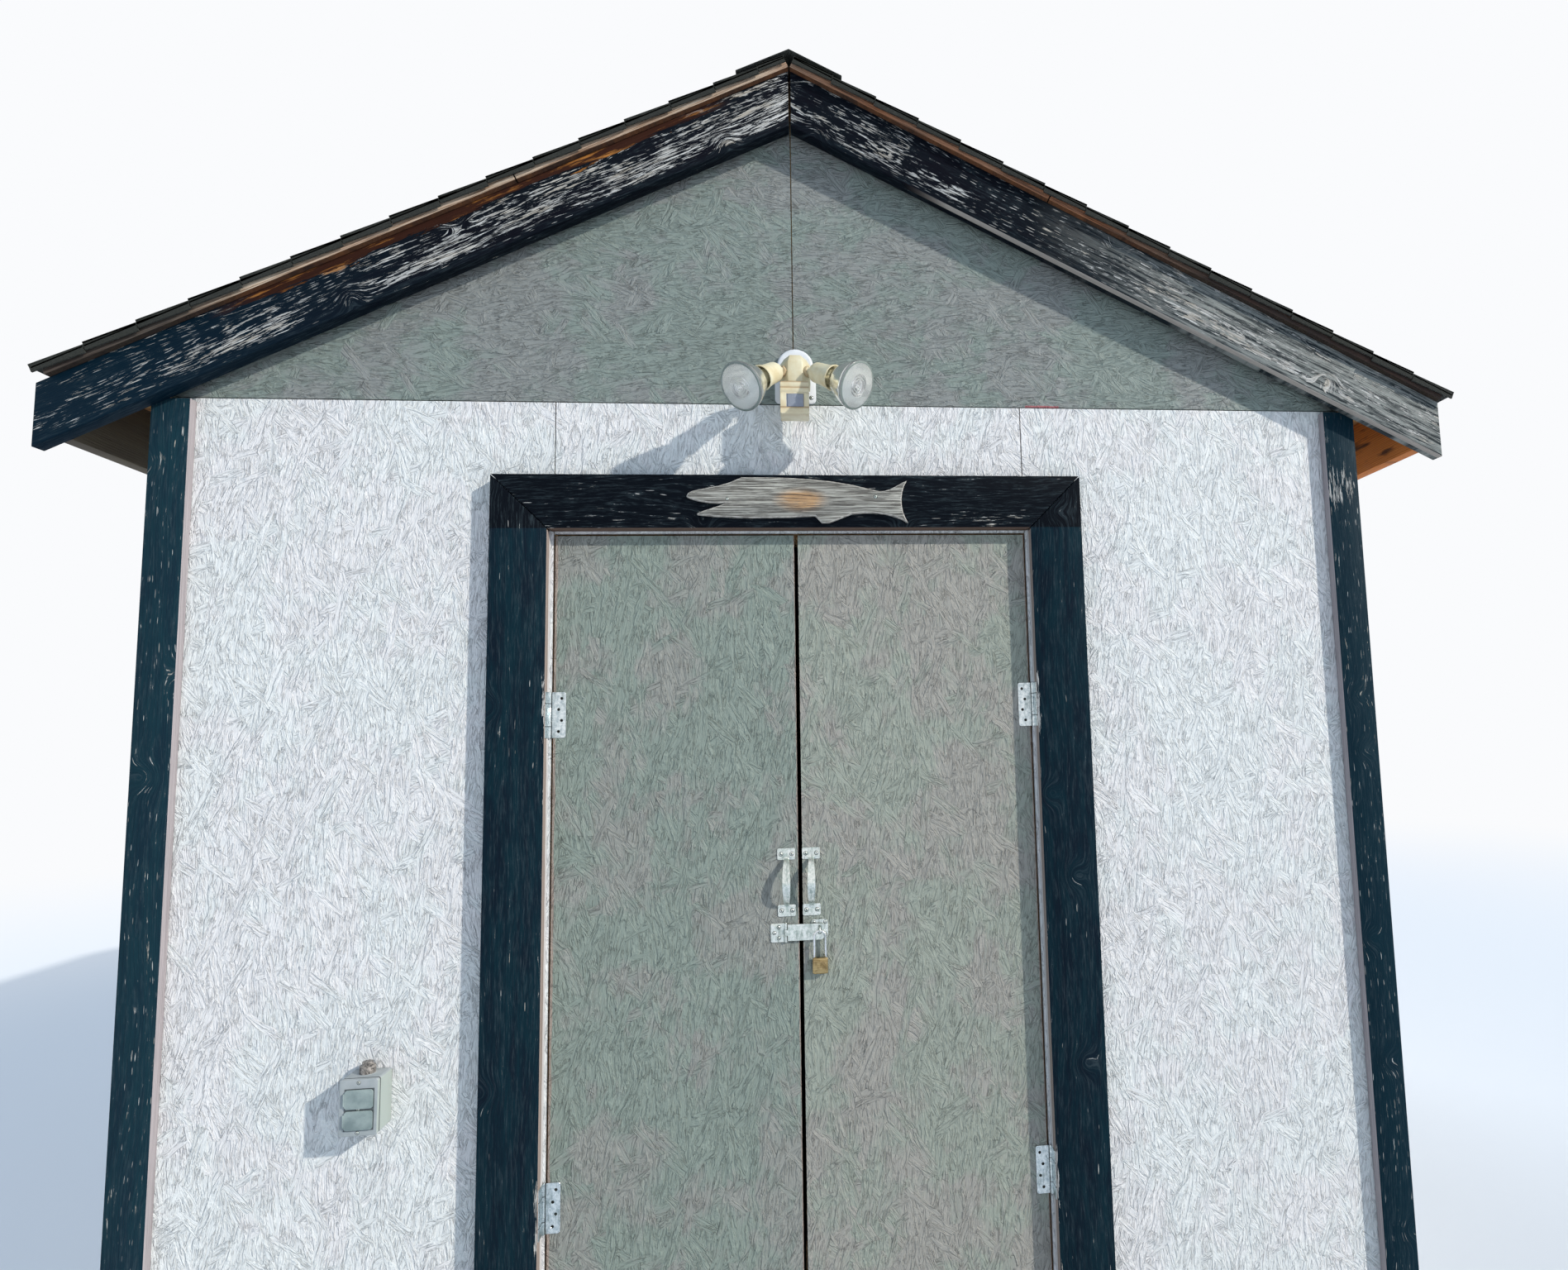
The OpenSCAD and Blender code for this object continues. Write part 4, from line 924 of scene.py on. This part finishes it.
# Padlock
# A solid brass body with a brushed face and a hardened steel shackle, locked through the
# loop of the staple.
brass, place, (x, y, z) = finish_named("brass")
brushed = noise(point(x * 30, y, z * 1400), 1, 3)
tarnish = spread(noise(place, 60, 4, 0.7), 0.45, 0.65)
colour = tint(spread(brushed, 0.35, 0.65), rgb(196, 176, 132), rgb(150, 128, 86))
colour = tint(tarnish * 0.7, colour, rgb(96, 80, 56))
coat(brass, colour, spread(tarnish, 0, 1, 0.3, 0.5), brushed, 0.0001, Metallic=1)
shackle_steel = zinc_finish("shackle_steel", rgb(236, 238, 240), rgb(206, 210, 212), 0.12)
lock_h = 0.038
lock_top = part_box("padlock")[0].z + lock_h
worn_piece("padlock_brass", "padlock", [brass, shackle_steel], "brass_lock", 0.0012, 2, 40, "left_door",
           lambda face: face.calc_center_median().z > lock_top + 0.0002)

# Fish plaque
# A fish sawn out of board and carved lightly, nailed by its mouth and screwed by its tail.
# Weather has silvered it round an orange stain.
stain_place, stain_size = (0.014, 2.258), (0.082, 0.038)
fish, place, (x, y, z) = finish_named("fish_wood")
wood = add("Group", {"Vector": point(x, z, y), "Board": 3, "Ring Width": 0.009}, node_tree=grain)
cloud = noise(placed(place, (14, 9, 40)), 1, 5, 0.65, 0.6)
split = noise(placed(place, (13, 9, 620)), 1, 3, 0.65)
colour = tint(spread(wood["Fibre"], 0.35, 0.65), rgb(204, 203, 193), rgb(132, 131, 125))
colour = tint(wood["Rings"] * 0.4, colour, rgb(84, 82, 78))
stain = spot(x, z, stain_place, stain_size) * spread(cloud, 0.3, 0.6, 0.5, 1.2)
colour = tint(least(stain, 0.75), colour, rgb(204, 154, 96))
splits = spread(split + cloud * 0.15, 0.57, 0.64)
coat(fish, tint(splits * 0.8, colour, rgb(56, 53, 50)), 0.75, wood["Fibre"] + cloud - splits, 0.0012)
sawn_edge, place, _ = finish_named("fish_edge")
fibre = noise(placed(place, (90, 30, 300)), 1, 3)
coat(sawn_edge, tint(spread(fibre, 0.35, 0.65), rgb(196, 192, 184), rgb(140, 136, 130)), 0.8, fibre, 0.0006)
worn_piece("carved_fish", "fish_plaque", [fish, sawn_edge], "fish_wood", 0.0025, 2, 35,
           pick=lambda face: -0.97 < face.normal.y < 0.3)
fish_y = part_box("fish_plaque")[0].y
screws("fish_screws", [(-0.172, fish_y, 2.261, 0.0035), (0.208, fish_y, 2.267, 0.0042)])

# Twin lamp and motion sensor
# Die-cast holders and body, cream enamel gone yellow in the sun, on a white wall plate.
# The bulbs are pressed glass: a silvered bowl closed by a lens with rings in it.


def enamel(name, colour, stained, rough):
    """Enamel or moulded plastic that has yellowed unevenly, with a fine peel to it."""
    made, place, _ = finish_named(name)
    cloud = noise(place, 22, 5, 0.6)
    coat(made, tint(spread(cloud, 0.38, 0.66), colour, stained),
         spread(cloud, 0.3, 0.7, rough, rough + 0.15), noise(place, 420, 2), 0.00012)
    return made


cream = enamel("cream_enamel", rgb(226, 220, 192), rgb(212, 198, 160), 0.35)
# The lock nuts are a darker beige than the arms, as painted shade at the arm joints.
nut_shade = enamel("shaded_nut", rgb(206, 188, 152), rgb(174, 146, 112), 0.5)
plate_white = enamel("plate_white", rgb(232, 234, 238), rgb(220, 224, 228), 0.35)
window = enamel("sensor_window", rgb(150, 156, 168), rgb(130, 136, 150), 0.2)
lamp_x, arm_z, arm_root, arm_out = 0.005, 2.588, 0.0285, 0.075
worn_piece("lamp_wall_plate", "lamp_plate", [plate_white], "lamp_white", 0.001)
worn_piece("lamp_casting", "lamp_body", [cream], "lamp_cream", 0.0012, 2, 12)


def on_nut(face):
    """The lock nut ends at a plane square to its arm."""
    middle = face.calc_center_median()
    side = 1 if middle.x > lamp_x else -1
    facet, nut_end = radians(55), 0.0095
    root = Vector((lamp_x + side * arm_root, face_y - arm_out, arm_z))
    return (middle - root).dot(Vector((side * sin(facet), -cos(facet), 0))) < nut_end


worn_piece("lamp_bells", "lamp_holders", [cream, nut_shade], "lamp_cream", 0.0008, 1, pick=on_nut)
sensor_low, sensor_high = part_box("motion_sensor")
ridged = enamel("ridged_cream", rgb(226, 218, 190), rgb(212, 196, 160), 0.35)
moulded, place, (x, y, z) = coat_of(ridged)
# Brown lines are painted along the sensor's three ridges, as the shade at them.
ridge_shade = 0
for level in (sensor_high.z - 0.006, sensor_high.z - 0.021, sensor_low.z + 0.017):
    ridge_shade = most(ridge_shade, spread(abs(z - level), 0.001, 0.003, 0.7, 0))
coat(ridged, tint(ridge_shade, moulded, rgb(160, 128, 92)))


def on_window(face):
    """The sensor's dark lens, inside the moulded rim of its front."""
    middle_x, window_z, half_w, half_h = (sensor_low.x + sensor_high.x) / 2, 2.503, 0.0235, 0.0185
    return all(abs(v.co.x - middle_x) < half_w and abs(v.co.z - window_z) < half_h for v in face.verts)


worn_piece("sensor_head", "motion_sensor", [ridged, window], "lamp_cream", 0.0008, 1, pick=on_window)


def turned(shape, profile, place):
    """A body of revolution about a place's Z axis, from a profile of radii and heights."""
    verts = [shape.verts.new(place @ Vector((r, 0, h))) for r, h in profile]
    edges = [shape.edges.new(pair) for pair in zip(verts, verts[1:])]
    bmesh.ops.spin(shape, geom=verts + edges, cent=place.translation, axis=place.to_3x3() @ Vector((0, 0, 1)),
                   angle=2 * pi, steps=64, use_merge=True)
    bmesh.ops.remove_doubles(shape, verts=shape.verts, dist=2e-6)


def at_lamp(side):
    """The place of one bulb: Z runs back along it from the middle of its lens."""
    turn, tilt = (-40, 32) if side < 0 else (50, 27)
    ball, lens_out = Vector((lamp_x + side * 0.0424, face_y - 0.0848, arm_z)), 0.163
    return (move(ball) @ rotate(radians(turn), 4, "Z")
            @ rotate(radians(tilt - 90), 4, "X") @ move((0, 0, -lens_out)))


lens_r, rim_h, bowl_h, neck_r, glass_t = 0.0605, 0.008, 0.08, 0.0215, 0.0014
seal_low, seal_high = 0.0054, 0.0056
ring_h, ringed_mm = 0.0016, 28
lens_profile = []
for r_mm in range(58):
    ring = ring_h * cos(r_mm * 0.9) * (1 if r_mm < ringed_mm else 0.06)
    lens_profile.append((r_mm / 1000, -0.005 * (1 - (r_mm / 60.5) ** 2) + ring))
lens_profile += [(0.0592, 0.0004), (lens_r, 0.0018), (lens_r, 0.0052), (0.056, seal_low), (0, 0.0005)]
narrowing = 1 - (neck_r / lens_r) ** 2
bowl_outer = [(lens_r, seal_high), (lens_r, rim_h)]
for s in (i / 12 for i in range(1, 13)):
    bowl_outer.append((lens_r * sqrt(1 - narrowing * s), rim_h + (bowl_h - rim_h) * s))
bowl_inner = [(r - glass_t, h - 0.001) for r, h in reversed(bowl_outer[1:])]
bowl_inner += [(lens_r - glass_t, seal_high), (lens_r, seal_high)]
screw_base = [(0, 0.0975), (0.0205, 0.098), (0.0138, 0.105)]
screw_base += [(0.0128 + 0.0005 * cos(i * pi), 0.106 + 0.0018 * i) for i in range(12)]
screw_base += [(0.0115, 0.129), (0.005, 0.1345), (0, 0.1345)]

glass, place, _ = finish_named("pressed_glass")
haze = noise(place, 60, 4)
coat(glass, rgb(254, 255, 253), spread(haze, 0.3, 0.7, 0.04, 0.14), haze, 0.0002, IOR=1.5,
     **{"Transmission Weight": 0.85})
silvering, place, _ = finish_named("silvering")
cloud = noise(place, 40, 4)
coat(silvering, tint(spread(cloud, 0.35, 0.65), rgb(252, 253, 251), rgb(236, 240, 238)),
     spread(cloud, 0.3, 0.7, 0.14, 0.26), Metallic=1)
sealed = enamel("sealed_rim", rgb(136, 148, 142), rgb(108, 120, 114), 0.2)


def on_seal(face):
    """The ring of dull glass where the lens is fused to the bowl."""
    middle = face.calc_center_median()
    side = 1 if middle.x > lamp_x else -1
    return 0.0548 < (at_lamp(side).inverted() @ middle).xy.length < 0.0592


shape = bmesh.new()
for side in (-1, 1):
    turned(shape, lens_profile, at_lamp(side))
outwards(shape)
piece("bulb_lenses", shape, [glass, sealed], "lamp_glass", pick=on_seal)
shape = bmesh.new()
for side in (-1, 1):
    turned(shape, bowl_outer + [(0.0205, 0.098), (0.0191, 0.098)] + bowl_inner, at_lamp(side))
    turned(shape, screw_base, at_lamp(side))
outwards(shape)
piece("bulb_bowls", shape, [silvering], "lamp_glass", "lamp_bulbs")
screws("lamp_screw", [(0.0465, face_y - 0.009, 2.545, 0.0045)])

# Outlet box
# A die-cast box for wet places: the cover is drawn down on a black gasket, and two sprung
# flaps close the sockets.
box_low, box_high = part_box("outlet_box")
box_z, flap_x, flap_half_w, flap_half_h = 0.841, -1.004, 0.0325, 0.0228
gasket_in, box_top = 0.0118, box_z + 0.0625
cast_grey = enamel("cast_grey", rgb(164, 170, 172), rgb(148, 156, 158), 0.45)
cast, place, (x, y, z) = coat_of(cast_grey)
# The band along the gasket and the cover behind the flaps are painted dark, as shade in the joint and the
# recesses.
seam_shade = abs(y - (box_low.y + gasket_in)) < 0.0022
for middle in (box_z - 0.027, box_z + 0.019):
    seam_shade = most(seam_shade, (abs(x - flap_x) < flap_half_w) * (abs(z - middle) < flap_half_h))
# The box's right side is painted lighter and greener, as the light falling on it.
cast = tint(x > box_high.x - 0.0008, cast, rgb(168, 178, 172))

# Crumbs of old filler on the top of the box.
crumbs = spread(noise(place, 150, 3, 0.7), 0.4, 0.6)
cast = tint((z > box_top) * 0.9, cast, tint(crumbs, rgb(44, 36, 32), rgb(158, 150, 142)))
coat(cast_grey, tint(seam_shade * 0.85, cast, rgb(44, 52, 56)))
gasket = enamel("gasket", rgb(34, 34, 36), rgb(46, 46, 48), 0.7)
lid_grey = enamel("lid_grey", rgb(150, 164, 162), rgb(116, 132, 132), 0.3)


def on_gasket(face):
    """The narrow side of the gasket, between the box and its cover."""
    return 0.0112 < face.calc_center_median().y - box_low.y < 0.0134


worn_piece("outlet_casting", "outlet_box", [cast_grey, gasket], "outlet_grey", 0.0012, pick=on_gasket)
worn_piece("outlet_flaps", "outlet_lids", [lid_grey], "outlet_grey", 0.0009)
screws("outlet_screws", [(-1.006, box_low.y, box_z + dz, 0.0034) for dz in (-0.0545, -0.004, 0.0545)])
